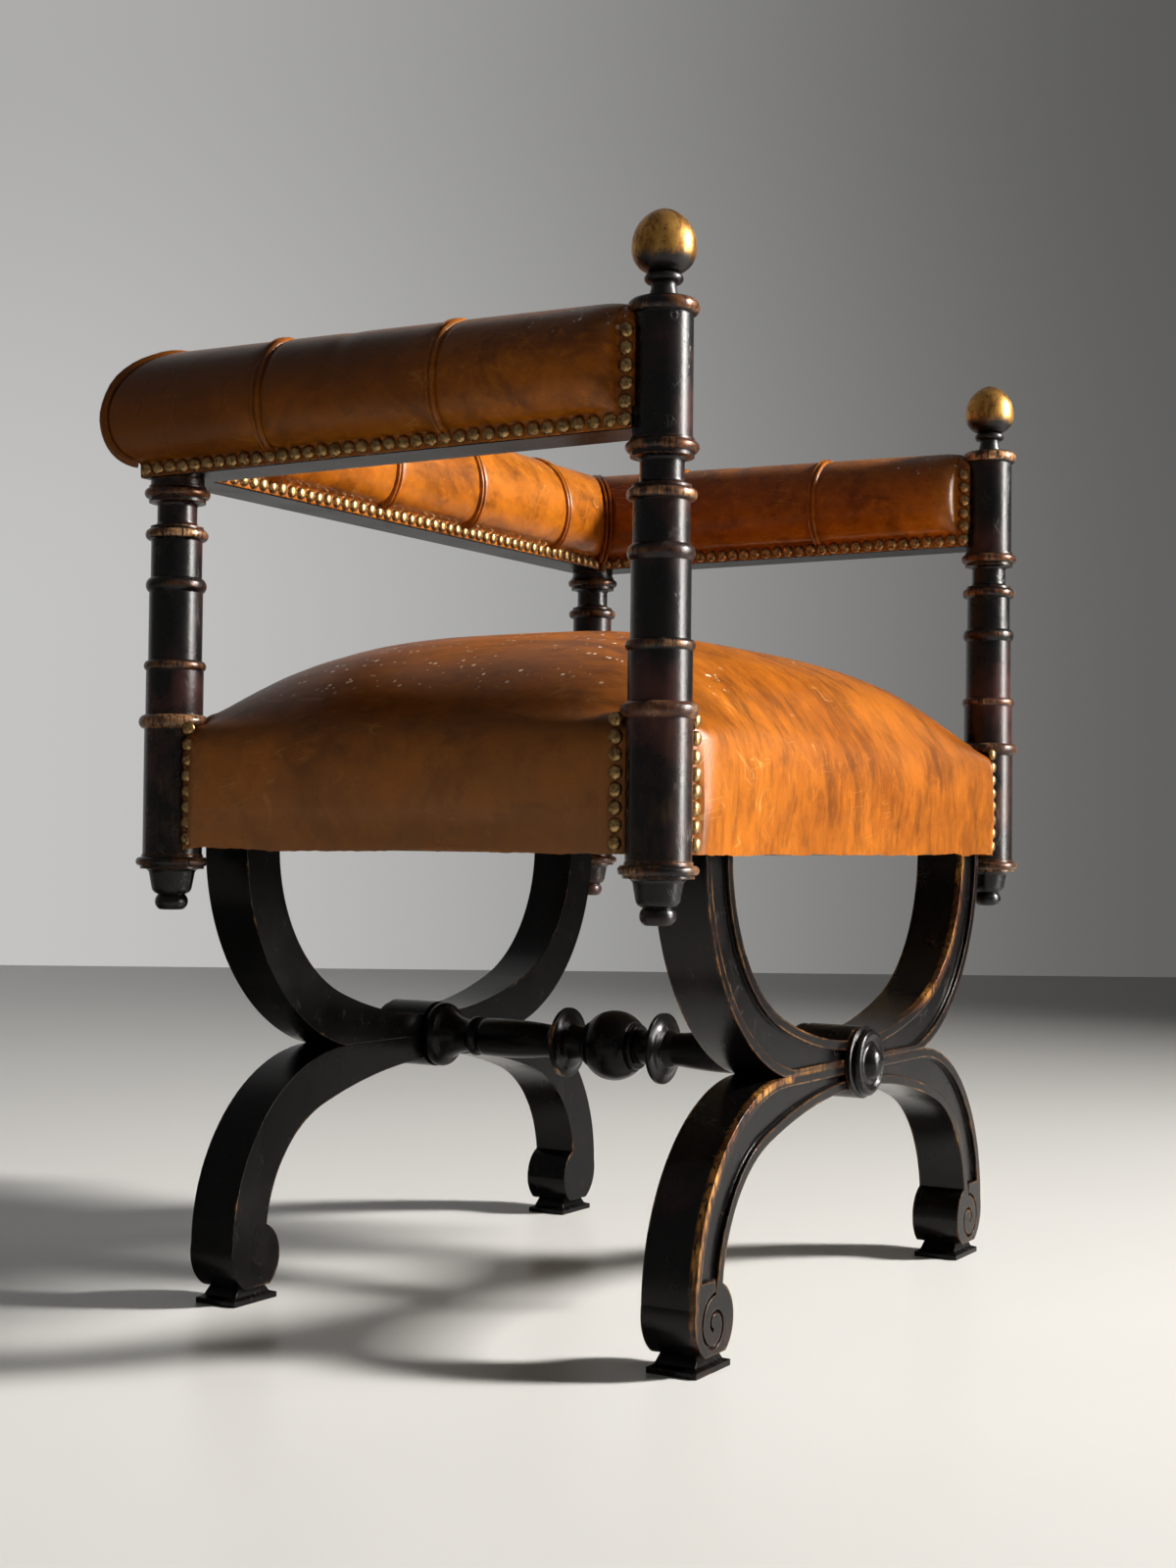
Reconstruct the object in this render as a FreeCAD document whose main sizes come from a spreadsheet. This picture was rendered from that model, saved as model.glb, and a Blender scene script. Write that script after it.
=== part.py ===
import FreeCAD, Part
import math
import os
import Sketcher

# Armed stool on two X-shaped frames. Millimetres, +Z up, the open front faces -Y.
# The origin lies on the floor, in the middle of the whole object's length and depth.

SIZES = {
    # Plan of the four posts and the clearance of hidden joints
    "post_span_x": 600.0,
    "post_span_y": 404.0,
    "fit": 0.2,
    # Turned posts: radii of the plain lengths from the bottom up
    "post_radius": 21.4,
    "post_seat_radius": 20.8,
    "post_middle_radius": 19.4,
    "post_slim_radius": 18.5,
    "post_top_radius": 19.4,
    "post_neck_radius": 14.4,
    "post_neck_foot": 19.2,
    "post_neck_flare": 3.6,
    "post_fillet": 1.9,
    # Posts' foot below the seat rails, rings each from the one below, the first from the seat's edge
    "post_bottom": 7.4,
    "seat_ring_height": 12.4,
    "seat_ring_half": 5.2,
    "seat_ring_rise": 4.4,
    "low_ring_height": 41.2,
    "low_ring_half": 3.6,
    "low_ring_rise": 2.4,
    "middle_ring_height": 58.8,
    "middle_ring_half": 5.3,
    "middle_ring_rise": 3.0,
    "high_ring_height": 36.8,
    "high_ring_half": 4.2,
    "high_ring_rise": 3.9,
    "arm_collar_height": 30.2,
    "arm_collar_half": 3.6,
    "arm_collar_rise": 3.2,
    "arm_collar_step": 20.6,
    "top_collar_height": 89.3,
    "top_collar_half": 5.0,
    "top_collar_rise": 4.0,
    "post_top": 5.7,
    # Gilt finials, each part's height from the one below
    "spigot_radius": 8.0,
    "spigot_length": 18.0,
    "finial_foot_radius": 9.6,
    "finial_neck_radius": 8.2,
    "finial_neck_height": 7.0,
    "finial_ring_radius": 10.0,
    "finial_ring_half": 3.0,
    "finial_ring_rise": 2.6,
    "egg_bottom_height": 0.5,
    "egg_wide_height": 16.9,
    "egg_radius": 20.9,
    "egg_top_height": 24.6,
    # Drop pendants
    "pendant_drop": 40.0,
    "pendant_fillet": 2.0,
    "pendant_collar_radius": 23.0,
    "pendant_collar_half": 3.2,
    "pendant_collar_rise": 3.1,
    "pendant_cup_radius": 16.2,
    "pendant_flare": 4.2,
    "pendant_waist_radius": 9.6,
    "pendant_bun_height": 11.0,
    "pendant_bun_radius": 8.4,
    # Seat frame, its underside above the waist of the X frames
    "seat_rail_bottom": 158.0,
    "seat_rail_height": 74.0,
    "seat_rail_thickness": 28.0,
    "seat_rail_outset": 10.5,
    "tenon_stop": 8.0,
    "tenon_thickness": 11.0,
    "tenon_height": 48.0,
    "corner_block_side": 40.0,
    "corner_block_height": 42.0,
    # Webbing, springs and hessian of the seat
    "webbing_width": 50.0,
    "webbing_thickness": 1.6,
    "webbing_pitch_x": 90.0,
    "webbing_pitch_y": 90.0,
    "spring_radius": 36.0,
    "spring_waist_radius": 26.0,
    "spring_wire": 3.6,
    "spring_pitch_x": 150.0,
    "hessian_thickness": 1.2,
    # Leather seat: skirt below the rails, edge above them, crown, and nails from the skirt's edges
    "seat_leather": 2.5,
    "skirt_bottom": 4.0,
    "seat_edge_height": 2.6,
    "seat_crown": 88.0,
    "nail_head_radius": 5.2,
    "nail_head_rise": 2.6,
    "nail_gap": 0.9,
    "seat_nail_from_post": 7.8,
    "seat_nail_bottom": 8.0,
    # Padded roll along left, back and right: rail above the arm collar, levels from the rail's underside
    "roll_rail_bottom": 10.5,
    "roll_rail_thickness": 14.0,
    "roll_rail_half": 17.8,
    "roll_leather": 2.2,
    "roll_nail_height": 6.1,
    "roll_tuck_height": 0.4,
    "roll_wide_height": 43.5,
    "roll_half": 40.0,
    "roll_low_bulge": 6.0,
    "roll_side_bulge": 3.8,
    "roll_top": 92.5,
    "roll_end_top": 76.5,
    "roll_end_from_post": 10.0,
    "roll_end_flat": 12.0,
    "roll_end_swell": 46.0,
    "welt_width": 5.0,
    "welt_rise": 1.8,
    # Seams of the roll: along each arm from the front post, and along the back from the left post
    "arm_seam_1": 154.0,
    "arm_seam_2": 301.0,
    "back_seam_1": 83.0,
    "back_seam_2": 224.0,
    "back_seam_3": 346.0,
    "back_seam_4": 490.0,
    # X-shaped frames: an upper U beside the posts, and a lower arch centred above the scrolls
    "board_thickness": 40.0,
    "board_outset": 9.5,
    "field_depth": 3.5,
    "bead_width": 7.0,
    "arm_from_post": 48.0,
    "arm_inner_radius": 125.0,
    "arm_width": 38.0,
    "arm_dip": 16.0,
    "waist_notch": 5.0,
    "leg_centre_x": 124.0,
    "leg_centre_height": 12.0,
    "leg_inner_radius": 100.0,
    "leg_width": 38.0,
    "leg_rise": 19.5,
    "hub_radius": 27.0,
    "hub_bore": 10.0,
    # Scroll feet, the scrolls' middle above the plinths
    "scroll_radius": 25.4,
    "scroll_height": 21.0,
    "scroll_set_in": 9.0,
    "scroll_sweep": 30.0,
    "volute_radius": 18.8,
    "volute_step": 2.9,
    "volute_groove": 2.4,
    "foot_height": 12.0,
    "foot_base_height": 4.0,
    "foot_length": 49.0,
    "foot_depth": 37.0,
    "foot_waist": 11.0,
    # Roundel bosses, stretcher and dowels
    "boss_radius": 27.0,
    "boss_height": 18.0,
    "boss_cap_radius": 12.0,
    "boss_spigot": 12.0,
    "stretcher_tenon": 24.0,
    "stretcher_flange_radius": 23.0,
    "stretcher_flange_width": 11.5,
    "stretcher_shaft_radius": 15.5,
    "stretcher_slim_radius": 13.2,
    "stretcher_collar_from_flange": 28.0,
    "stretcher_disc_radius": 28.0,
    "stretcher_disc_offset": 44.0,
    "stretcher_bun_radius": 28.0,
    "stretcher_bun_half": 18.6,
    "dowel_radius": 4.0,
    "dowel_length": 24.0,
    "waist_dowel_x": 62.0,
}

POST_SIDES = {"front_left": (-1, -1), "front_right": (1, -1), "back_left": (-1, 1), "back_right": (1, 1)}

doc = FreeCAD.newDocument("armed_stool")
sheet = doc.addObject("Spreadsheet::Sheet", "sizes")
nodes = []


class Size:
    """A length of the sheet, or a sum, product or root of lengths, with the text that binds it."""

    def __init__(self, value, text):
        self.value = value
        self.text = text

    def __add__(self, other):
        other = as_size(other)
        return Size(self.value + other.value, f"({self.text} + {other.text})")

    def __sub__(self, other):
        other = as_size(other)
        return Size(self.value - other.value, f"({self.text} - {other.text})")

    def __rsub__(self, other):
        return as_size(other) - self

    def __mul__(self, other):
        other = as_size(other)
        return Size(self.value * other.value, f"({self.text} * {other.text})")

    def __truediv__(self, other):
        other = as_size(other)
        return Size(self.value / other.value, f"({self.text} / {other.text})")

    def __neg__(self):
        return self * -1

    __radd__ = __add__
    __rmul__ = __mul__


def as_size(number):
    if isinstance(number, Size):
        return number
    return Size(float(number), f"({number})")


def root(size):
    return Size(math.sqrt(size.value), f"sqrt({size.text})")


def leg_of(hypotenuse, other_leg):
    """The second short side of a right triangle."""
    return root(hypotenuse * hypotenuse - other_leg * other_leg)


def fill_sheet():
    for row, (alias, value) in enumerate(SIZES.items(), start=1):
        sheet.set(f"A{row}", alias)
        sheet.set(f"B{row}", str(value))
        sheet.setAlias(f"B{row}", alias)
    doc.recompute()
    return {alias: Size(value, f"sizes.{alias}") for alias, value in SIZES.items()}


S = fill_sheet()
ZERO = as_size(0)

# Plan lines: the middle of the posts stands behind the origin's line, because the roll reaches further back
# than the bosses reach forward.
half_x = S["post_span_x"] / 2
half_y = S["post_span_y"] / 2
front_reach = half_y + S["board_outset"] + S["boss_height"]
back_reach = half_y + S["roll_half"] + S["welt_rise"]
middle_y = (front_reach - back_reach) / 2
front_y = middle_y - half_y
back_y = middle_y + half_y

# Levels of the X frames, from the floor up
leg_outer_radius = S["leg_inner_radius"] + S["leg_width"]
scroll_level = S["foot_height"] + S["scroll_height"]
leg_centre_level = scroll_level + S["leg_centre_height"]
waist_height = leg_centre_level + leg_outer_radius
arm_outer_radius = S["arm_inner_radius"] + S["arm_width"]
arm_centre_x = half_x - S["arm_from_post"] - arm_outer_radius
arm_centre_height = waist_height + arm_outer_radius - S["waist_notch"]
board_inner_offset = S["board_thickness"] - S["board_outset"]
scroll_x = S["leg_centre_x"] + S["leg_inner_radius"] + S["scroll_set_in"]

# Levels of the seat
rail_bottom = waist_height + S["seat_rail_bottom"]
seat_rail_top = rail_bottom + S["seat_rail_height"]
skirt_bottom = rail_bottom - S["skirt_bottom"]
seat_edge = seat_rail_top + S["seat_edge_height"]
rail_inset = S["seat_rail_thickness"] - S["seat_rail_outset"]
skirt_outset = S["seat_rail_outset"] + S["seat_leather"]
hessian_top = seat_rail_top + S["hessian_thickness"]
nail_pitch = S["nail_head_radius"] * 2 + S["nail_gap"]

# Levels of the posts
post_bottom = rail_bottom - S["post_bottom"]
ring_levels = {}
level = seat_edge
for ring_name in ("seat", "low", "middle", "high"):
    level = level + S[f"{ring_name}_ring_height"]
    ring_levels[ring_name] = level
arm_collar_level = level + S["arm_collar_height"]
top_collar_level = arm_collar_level + S["top_collar_height"]
post_top = top_collar_level + S["post_top"]

# Levels of the roll
roll_bottom = arm_collar_level + S["roll_rail_bottom"]
roll_rail_top = roll_bottom + S["roll_rail_thickness"]
roll_nail_level = roll_bottom + S["roll_nail_height"]
roll_tuck = roll_nail_level + S["nail_head_radius"] + S["roll_tuck_height"]
roll_wide = roll_bottom + S["roll_wide_height"]
roll_top = roll_bottom + S["roll_top"]
roll_end_top = roll_bottom + S["roll_end_top"]
roll_base_half = S["roll_rail_half"] + S["roll_leather"]


def keep(obj, label):
    """Note an object as one sub-part of the stool."""
    obj.Label = label
    nodes.append(obj)
    return obj


def put(obj, x=ZERO, y=ZERO, z=ZERO, axis=None, angle=0):
    """Place an object, with its position bound to the sheet."""
    if axis is not None:
        obj.Placement = FreeCAD.Placement(FreeCAD.Vector(), FreeCAD.Rotation(FreeCAD.Vector(*axis), angle))
    for name, length in (("x", x), ("y", y), ("z", z)):
        obj.setExpression(f"Placement.Base.{name}", length.text)
    return obj


def new_sketch(body, role, name, offset=None):
    sketch = body.newObject("Sketcher::SketchObject", name)
    plane = [feature for feature in body.Origin.OriginFeatures if feature.Role == role][0]
    sketch.AttachmentSupport = [(plane, "")]
    sketch.MapMode = "FlatFace"
    if offset is not None:
        sketch.setExpression("AttachmentOffset.Base.z", offset.text)
    return sketch


def arc_geometry(start, end, radius, side):
    """Arc of under a half circle that bulges to the left (1) or right (-1) of the way to its end."""
    chord = end - start
    normal = FreeCAD.Vector(-chord.y, chord.x, 0).normalize()
    height = math.sqrt(max(radius ** 2 - (chord.Length / 2) ** 2, 0.0))
    centre = (start + end) * 0.5 - normal * (side * height)
    first, last = (end, start) if side > 0 else (start, end)
    angle_first = math.atan2(first.y - centre.y, first.x - centre.x)
    angle_last = math.atan2(last.y - centre.y, last.x - centre.x)
    if angle_last < angle_first:
        angle_last += 2 * math.pi
    circle = Part.Circle(centre, FreeCAD.Vector(0, 0, 1), radius)
    return Part.ArcOfCircle(circle, angle_first, angle_last)


def outline(sketch, corners):
    """Closed outline. A corner is (u, v) before a straight side, or (u, v, radius, side) before an arc."""
    ends = []
    constraints = []
    bound = []
    first = sketch.GeometryCount
    points = [FreeCAD.Vector(as_size(c[0]).value, as_size(c[1]).value, 0) for c in corners]
    for index, corner in enumerate(corners):
        start = points[index]
        end = points[(index + 1) % len(corners)]
        if len(corner) == 2:
            sketch.addGeometry(Part.LineSegment(start, end), False)
            ends.append((1, 2))
        else:
            sketch.addGeometry(arc_geometry(start, end, corner[2].value, corner[3]), False)
            ends.append((2, 1) if corner[3] > 0 else (1, 2))
    for index, corner in enumerate(corners):
        follow = (index + 1) % len(corners)
        meeting = (first + index, ends[index][1], first + follow, ends[follow][0])
        constraints.append(Sketcher.Constraint("Coincident", *meeting))
        for kind, axis, length in (("DistanceX", -2, corner[0]), ("DistanceY", -1, corner[1])):
            if length is ZERO:
                constraints.append(Sketcher.Constraint("PointOnObject", first + index, ends[index][0], axis))
            else:
                bound.append((len(constraints), length))
                place = (-1, 1, first + index, ends[index][0], length.value)
                constraints.append(Sketcher.Constraint(kind, *place))
        if len(corner) > 2:
            bound.append((len(constraints), corner[2]))
            constraints.append(Sketcher.Constraint("Radius", first + index, corner[2].value))
    offset = sketch.ConstraintCount
    sketch.addConstraint(constraints)
    for number, length in bound:
        sketch.setExpression(f"Constraints[{offset + number}]", length.text)


def circle(sketch, u, v, radius):
    """Circle whose centre and radius are bound to the sheet."""
    index = sketch.GeometryCount
    centre = FreeCAD.Vector(u.value, v.value, 0)
    sketch.addGeometry(Part.Circle(centre, FreeCAD.Vector(0, 0, 1), radius.value), False)
    for kind, length in (("DistanceX", u), ("DistanceY", v)):
        if length is ZERO:
            axis = -2 if kind == "DistanceX" else -1
            sketch.addConstraint(Sketcher.Constraint("PointOnObject", index, 3, axis))
        else:
            number = sketch.addConstraint(Sketcher.Constraint(kind, -1, 1, index, 3, length.value))
            sketch.setExpression(f"Constraints[{number}]", length.text)
    number = sketch.addConstraint(Sketcher.Constraint("Radius", index, radius.value))
    sketch.setExpression(f"Constraints[{number}]", radius.text)


def new_body(name):
    return doc.addObject("PartDesign::Body", name)


def pad(body, sketch, length, name):
    feature = body.newObject("PartDesign::Pad", name)
    feature.Profile = sketch
    feature.setExpression("Length", length.text)
    return feature


def pocket(body, sketch, depth, name):
    """Cut into the body against the sketch's normal; a cut that removes nothing is an error."""
    doc.recompute()
    before = body.Shape.Volume
    feature = body.newObject("PartDesign::Pocket", name)
    feature.Profile = sketch
    feature.setExpression("Length", depth.text)
    doc.recompute()
    if body.Shape.Volume >= before:
        raise ValueError(f"{name} cuts nothing")
    return feature


def turned(name, corners):
    """Piece turned on its own Z axis from a half profile of (radius, height) corners."""
    body = new_body(name)
    sketch = new_sketch(body, "XZ_Plane", f"{name}_profile")
    outline(sketch, corners)
    turning = body.newObject("PartDesign::Revolution", f"{name}_turning")
    turning.Profile = sketch
    turning.ReferenceAxis = (sketch, ["V_Axis"])
    turning.Angle = 360
    return body


def bead(low, high, rise):
    """Radius of an arc of a given rise over the straight line from one corner to the next."""
    across = high[0] - low[0]
    along = high[1] - low[1]
    chord = across * across + along * along
    return (chord / 4 + rise * rise) / (rise * 2)


def ring(low, high, rise, side=-1):
    """Corner that starts a round ring, or with side 1 a hollow, and ends at the next corner."""
    return (low[0], low[1], bead(low, high, rise), side)


def box(name, x, y, z, length, width, height):
    """Block whose lowest corner is at (x, y, z)."""
    block = doc.addObject("Part::Box", name)
    block.setExpression("Length", length.text)
    block.setExpression("Width", width.text)
    block.setExpression("Height", height.text)
    return put(block, x, y, z)


def rod(name, x, y, z, radius, length, axis=None, angle=0):
    """Round bar from (x, y, z) along Z, or turned from Z about an axis."""
    bar = doc.addObject("Part::Cylinder", name)
    bar.setExpression("Radius", radius.text)
    bar.setExpression("Height", length.text)
    return put(bar, x, y, z, axis, angle)


def wedge(name, x, y, angle, reach):
    """Block that takes away all that lies beyond an upright plane through (x, y), seen along an angle."""
    turn = math.radians(angle)
    block = doc.addObject("Part::Box", name)
    for side in ("Length", "Width", "Height"):
        block.setExpression(side, (reach * 2).text)
    left = x + reach * round(math.sin(turn), 9)
    back = y - reach * round(math.cos(turn), 9)
    return put(block, left, back, roll_bottom - reach, (0, 0, 1), angle)


def cut(label, base, tools):
    """Sub-part made by cutting the tools out of the base."""
    cutter = tools[0]
    if len(tools) > 1:
        cutter = doc.addObject("Part::Compound", f"{label}_cutters")
        cutter.Links = tools
    result = doc.addObject("Part::Cut", label)
    result.Base = base
    result.Tool = cutter
    return keep(result, label)


def fuse(name, pieces):
    result = doc.addObject("Part::MultiFuse", name)
    result.Shapes = pieces
    return result


# Turned posts


def post_profile(top_corners):
    """Half profile of a post up to the arm collar, ended by the given top corners."""
    corners = [(ZERO, post_bottom), (S["post_radius"], post_bottom)]
    plain = ["post_radius", "post_seat_radius", "post_middle_radius", "post_slim_radius", "post_neck_foot"]
    for level, name in enumerate(("seat", "low", "middle", "high")):
        height = ring_levels[name]
        half = S[f"{name}_ring_half"]
        low = (S[plain[level]], height - half)
        high = (S[plain[level + 1]], height + half)
        corners.append(ring(low, high, S[f"{name}_ring_rise"]))
        corners.append(high)
    neck = S["post_neck_radius"]
    flare = S["post_neck_flare"]
    step = S["arm_collar_step"]
    neck_low = corners[-1][1] + S["post_fillet"]
    collar_low = (step, arm_collar_level - S["arm_collar_half"])
    collar_high = (step, arm_collar_level + S["arm_collar_half"])
    neck_high = collar_low[1] - S["post_fillet"] * 1.5
    collar_top = collar_high[1] + S["post_fillet"]
    corners += [
        (S["post_neck_foot"], neck_low),
        (neck + flare, neck_low, flare, 1),
        (neck, neck_low + flare),
        (neck, neck_high - flare, flare, 1),
        (neck + flare, neck_high),
        (step, neck_high),
        ring(collar_low, collar_high, S["arm_collar_rise"]),
        collar_high,
        (step, collar_top),
        (S["post_top_radius"], collar_top),
    ]
    return corners + top_corners


def front_post_top():
    low = (S["post_top_radius"], top_collar_level - S["top_collar_half"])
    high = (S["post_top_radius"], top_collar_level + S["top_collar_half"])
    cap = (S["finial_foot_radius"] * 1.25, post_top)
    return [ring(low, high, S["top_collar_rise"]), high, cap, (ZERO, post_top)]


def back_post_top():
    return [(S["post_top_radius"], roll_bottom), (ZERO, roll_bottom)]


def tenon_cutter(name, x, y, along_x, sign):
    """Mortise for a seat rail's tenon, open towards the rail."""
    depth = S["post_radius"] * 2
    thick = S["tenon_thickness"] + S["fit"] * 2
    high = S["tenon_height"] + S["fit"] * 2
    low = rail_bottom + (S["seat_rail_height"] - S["tenon_height"]) / 2 - S["fit"]
    near = S["tenon_stop"] - S["fit"]
    start = near if sign > 0 else -near - depth
    if along_x:
        return box(name, x + start, y - thick / 2, low, depth, thick, high)
    return box(name, x - thick / 2, y + start, low, thick, depth, high)


def make_posts():
    hole = S["spigot_radius"] + S["fit"]
    depth = S["spigot_length"] + S["fit"]
    peg = S["dowel_radius"] + S["fit"]
    peg_depth = S["dowel_length"] / 2 + S["fit"]
    for name, (side, end) in POST_SIDES.items():
        x = half_x * side
        y = middle_y + half_y * end
        top = front_post_top() if end < 0 else back_post_top()
        body = put(turned(f"{name}_turned_post", post_profile(top)), x, y)
        tools = [
            tenon_cutter(f"{name}_mortise_x", x, y, True, -side),
            tenon_cutter(f"{name}_mortise_y", x, y, False, -end),
            rod(f"{name}_pendant_hole", x, y, post_bottom, hole, depth),
        ]
        if end < 0:
            tools.append(rod(f"{name}_finial_hole", x, y, post_top - depth, hole, depth))
            level = roll_bottom + S["roll_rail_thickness"] / 2
            start = y + S["post_top_radius"] - peg_depth
            tools.append(rod(f"{name}_arm_hole", x, start, level, peg, peg_depth * 2, (1, 0, 0), -90))
        else:
            start = roll_bottom - peg_depth
            tools.append(rod(f"{name}_rail_hole", x, y, start, peg, peg_depth))
        cut(f"{name}_post", body, tools)


def make_finials():
    """Gilt eggs on a ringed neck, with a spigot in the post's top."""
    top = post_top
    neck = top + S["finial_neck_height"]
    foot_top = top + S["finial_foot_radius"] / 8
    ring_low = (S["finial_ring_radius"], neck + S["finial_ring_half"])
    ring_high = (S["finial_ring_radius"], neck + S["finial_ring_half"] * 3)
    egg_low = (S["finial_neck_radius"], ring_high[1] + S["egg_bottom_height"])
    egg_wide = (S["egg_radius"], egg_low[1] + S["egg_wide_height"])
    egg_tip = (S["egg_radius"] / 12, egg_wide[1] + S["egg_top_height"])
    corners = [
        (ZERO, top - S["spigot_length"]),
        (S["spigot_radius"], top - S["spigot_length"]),
        (S["spigot_radius"], top),
        (S["finial_foot_radius"], top),
        (S["finial_foot_radius"], foot_top),
        (S["finial_neck_radius"], neck),
        (S["finial_neck_radius"], ring_low[1]),
        ring(ring_low, ring_high, S["finial_ring_rise"]),
        ring_high,
        (S["finial_neck_radius"], ring_high[1]),
        ring(egg_low, egg_wide, S["egg_radius"] * 0.2),
        ring(egg_wide, egg_tip, S["egg_radius"] * 0.26),
        egg_tip,
        (ZERO, egg_tip[1]),
    ]
    for name in ("front_left", "front_right"):
        side, end = POST_SIDES[name]
        egg = turned(f"{name}_egg", corners)
        keep(put(egg, half_x * side, middle_y + half_y * end), f"{name}_finial")


def make_pendants():
    top = post_bottom
    bottom = top - S["pendant_drop"]
    edge = S["pendant_collar_radius"]
    flare = S["pendant_flare"]
    collar_high = (edge, top - S["pendant_fillet"])
    collar_low = (edge, collar_high[1] - S["pendant_collar_half"] * 2)
    flare_top = collar_low[1] - S["pendant_fillet"]
    cup = (S["pendant_cup_radius"], flare_top - flare)
    waist = (S["pendant_waist_radius"], bottom + S["pendant_bun_height"])
    belly = (S["pendant_cup_radius"] * 0.9, waist[1] + (cup[1] - waist[1]) * 0.4)
    bun_low = (S["pendant_bun_radius"], bottom)
    corners = [
        (ZERO, bottom),
        ring(bun_low, waist, S["pendant_bun_radius"] * 0.34),
        ring(waist, belly, S["pendant_waist_radius"] * 0.13),
        belly,
        (cup[0], cup[1], flare, 1),
        (cup[0] + flare, flare_top),
        (edge, flare_top),
        ring(collar_low, collar_high, S["pendant_collar_rise"]),
        collar_high,
        (edge * 0.96, collar_high[1]),
        (edge * 0.96, top),
        (S["spigot_radius"], top),
        (S["spigot_radius"], top + S["spigot_length"]),
        (ZERO, top + S["spigot_length"]),
    ]
    for name, (side, end) in POST_SIDES.items():
        drop = turned(f"{name}_drop", corners)
        keep(put(drop, half_x * side, middle_y + half_y * end), f"{name}_pendant")


# Seat frame


def scribed(name, plank, centres):
    """A plank hollowed to the round of the posts at its ends."""
    gap = S["post_radius"] + S["fit"]
    rounds = [rod(f"{name}_scribe_{number}", x, y, rail_bottom, gap, S["seat_rail_height"])
              for number, (x, y) in enumerate(centres)]
    body = doc.addObject("Part::Cut", f"{name}_scribed")
    body.Base = plank
    body.Tool = fuse(f"{name}_scribes", rounds)
    return body


def make_seat_rails():
    """Rails between the posts, with tenons in the posts' mortises and dowel holes over the X frames."""
    low = rail_bottom
    high = S["seat_rail_height"]
    thick = S["seat_rail_thickness"]
    tenon = S["tenon_thickness"]
    tenon_low = low + (high - S["tenon_height"]) / 2
    peg = S["dowel_radius"] + S["fit"]
    peg_depth = S["dowel_length"] / 2 + S["fit"]
    inner_x = half_x - rail_inset
    for name, end in (("front", -1), ("back", 1)):
        y = middle_y + half_y * end
        face = y - (rail_inset if end > 0 else S["seat_rail_outset"])
        plank = box(f"{name}_plank", -inner_x, face, low, inner_x * 2, thick, high)
        body = scribed(name, plank, [(-half_x, y), (half_x, y)])
        bar_length = S["post_span_x"] - S["tenon_stop"] * 2
        bar = box(f"{name}_tenons", S["tenon_stop"] - half_x, y - tenon / 2, tenon_low,
                  bar_length, tenon, S["tenon_height"])
        joined = fuse(f"{name}_tenoned", [body, bar])
        hole_y = y - arm_dowel_y * end
        holes = [rod(f"{name}_dowel_hole_{side}", arm_end_x * side, hole_y, low, peg, peg_depth)
                 for side in (-1, 1)]
        cut(f"{name}_seat_rail", joined, holes)
    for name, side in (("left", -1), ("right", 1)):
        x = half_x * side
        face = x - (rail_inset if side > 0 else S["seat_rail_outset"])
        plank = box(f"{name}_plank", face, front_y, low, thick, S["post_span_y"], high)
        body = scribed(name, plank, [(x, front_y), (x, back_y)])
        bar_length = S["post_span_y"] - S["tenon_stop"] * 2
        bar = box(f"{name}_tenons", x - tenon / 2, front_y + S["tenon_stop"], tenon_low,
                  tenon, bar_length, S["tenon_height"])
        keep(fuse(f"{name}_seat_rail", [body, bar]), f"{name}_seat_rail")


def make_corner_blocks():
    """Glue blocks in the four inner corners of the seat frame."""
    side = S["corner_block_side"].value
    low = (rail_bottom + (S["seat_rail_height"] - S["corner_block_height"]) / 2).value
    inner_x = (half_x - rail_inset).value
    inner_y = (half_y - rail_inset).value
    blocks = []
    for sx, sy in POST_SIDES.values():
        corner = FreeCAD.Vector(sx * inner_x, middle_y.value + sy * inner_y, low)
        along_x = corner - FreeCAD.Vector(sx * side, 0, 0)
        along_y = corner - FreeCAD.Vector(0, sy * side, 0)
        face = Part.Face(Part.makePolygon([corner, along_x, along_y, corner]))
        blocks.append(face.extrude(FreeCAD.Vector(0, 0, S["corner_block_height"].value)))
    group("seat_corner_blocks", blocks)


def group(label, shapes):
    """Sub-part of one or several loose solids, worked out from the sheet's sizes."""
    feature = doc.addObject("Part::Feature", label)
    feature.Shape = Part.makeCompound(shapes) if len(shapes) > 1 else shapes[0]
    feature.Placement = FreeCAD.Placement()
    return keep(feature, label)


# X-shaped frames

# Middle of the arm's end under the seat rail, and the dowel's distance from the post line
arm_end_x = arm_centre_x + S["arm_inner_radius"] + S["arm_width"] / 2
arm_dowel_y = (rail_inset - S["seat_rail_outset"]) / 2


def basket(centre_x, radius, dip):
    """Radius of the wide middle arc that joins two side arcs smoothly and passes dip beyond them."""
    return (centre_x * centre_x + radius * dip * 2 + dip * dip) / (dip * 2)


def tangent_point(centre_x, centre_z, radius, dip, grow, up):
    """Where the side arc, grown by some width, meets the middle arc of an arch (up 1) or a U (up -1)."""
    wide = basket(centre_x, radius, dip)
    wide_z = centre_z + (radius + dip - wide) * up
    share = (wide + grow) / (wide - radius)
    return centre_x * share, wide_z + (centre_z - wide_z) * share


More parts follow.
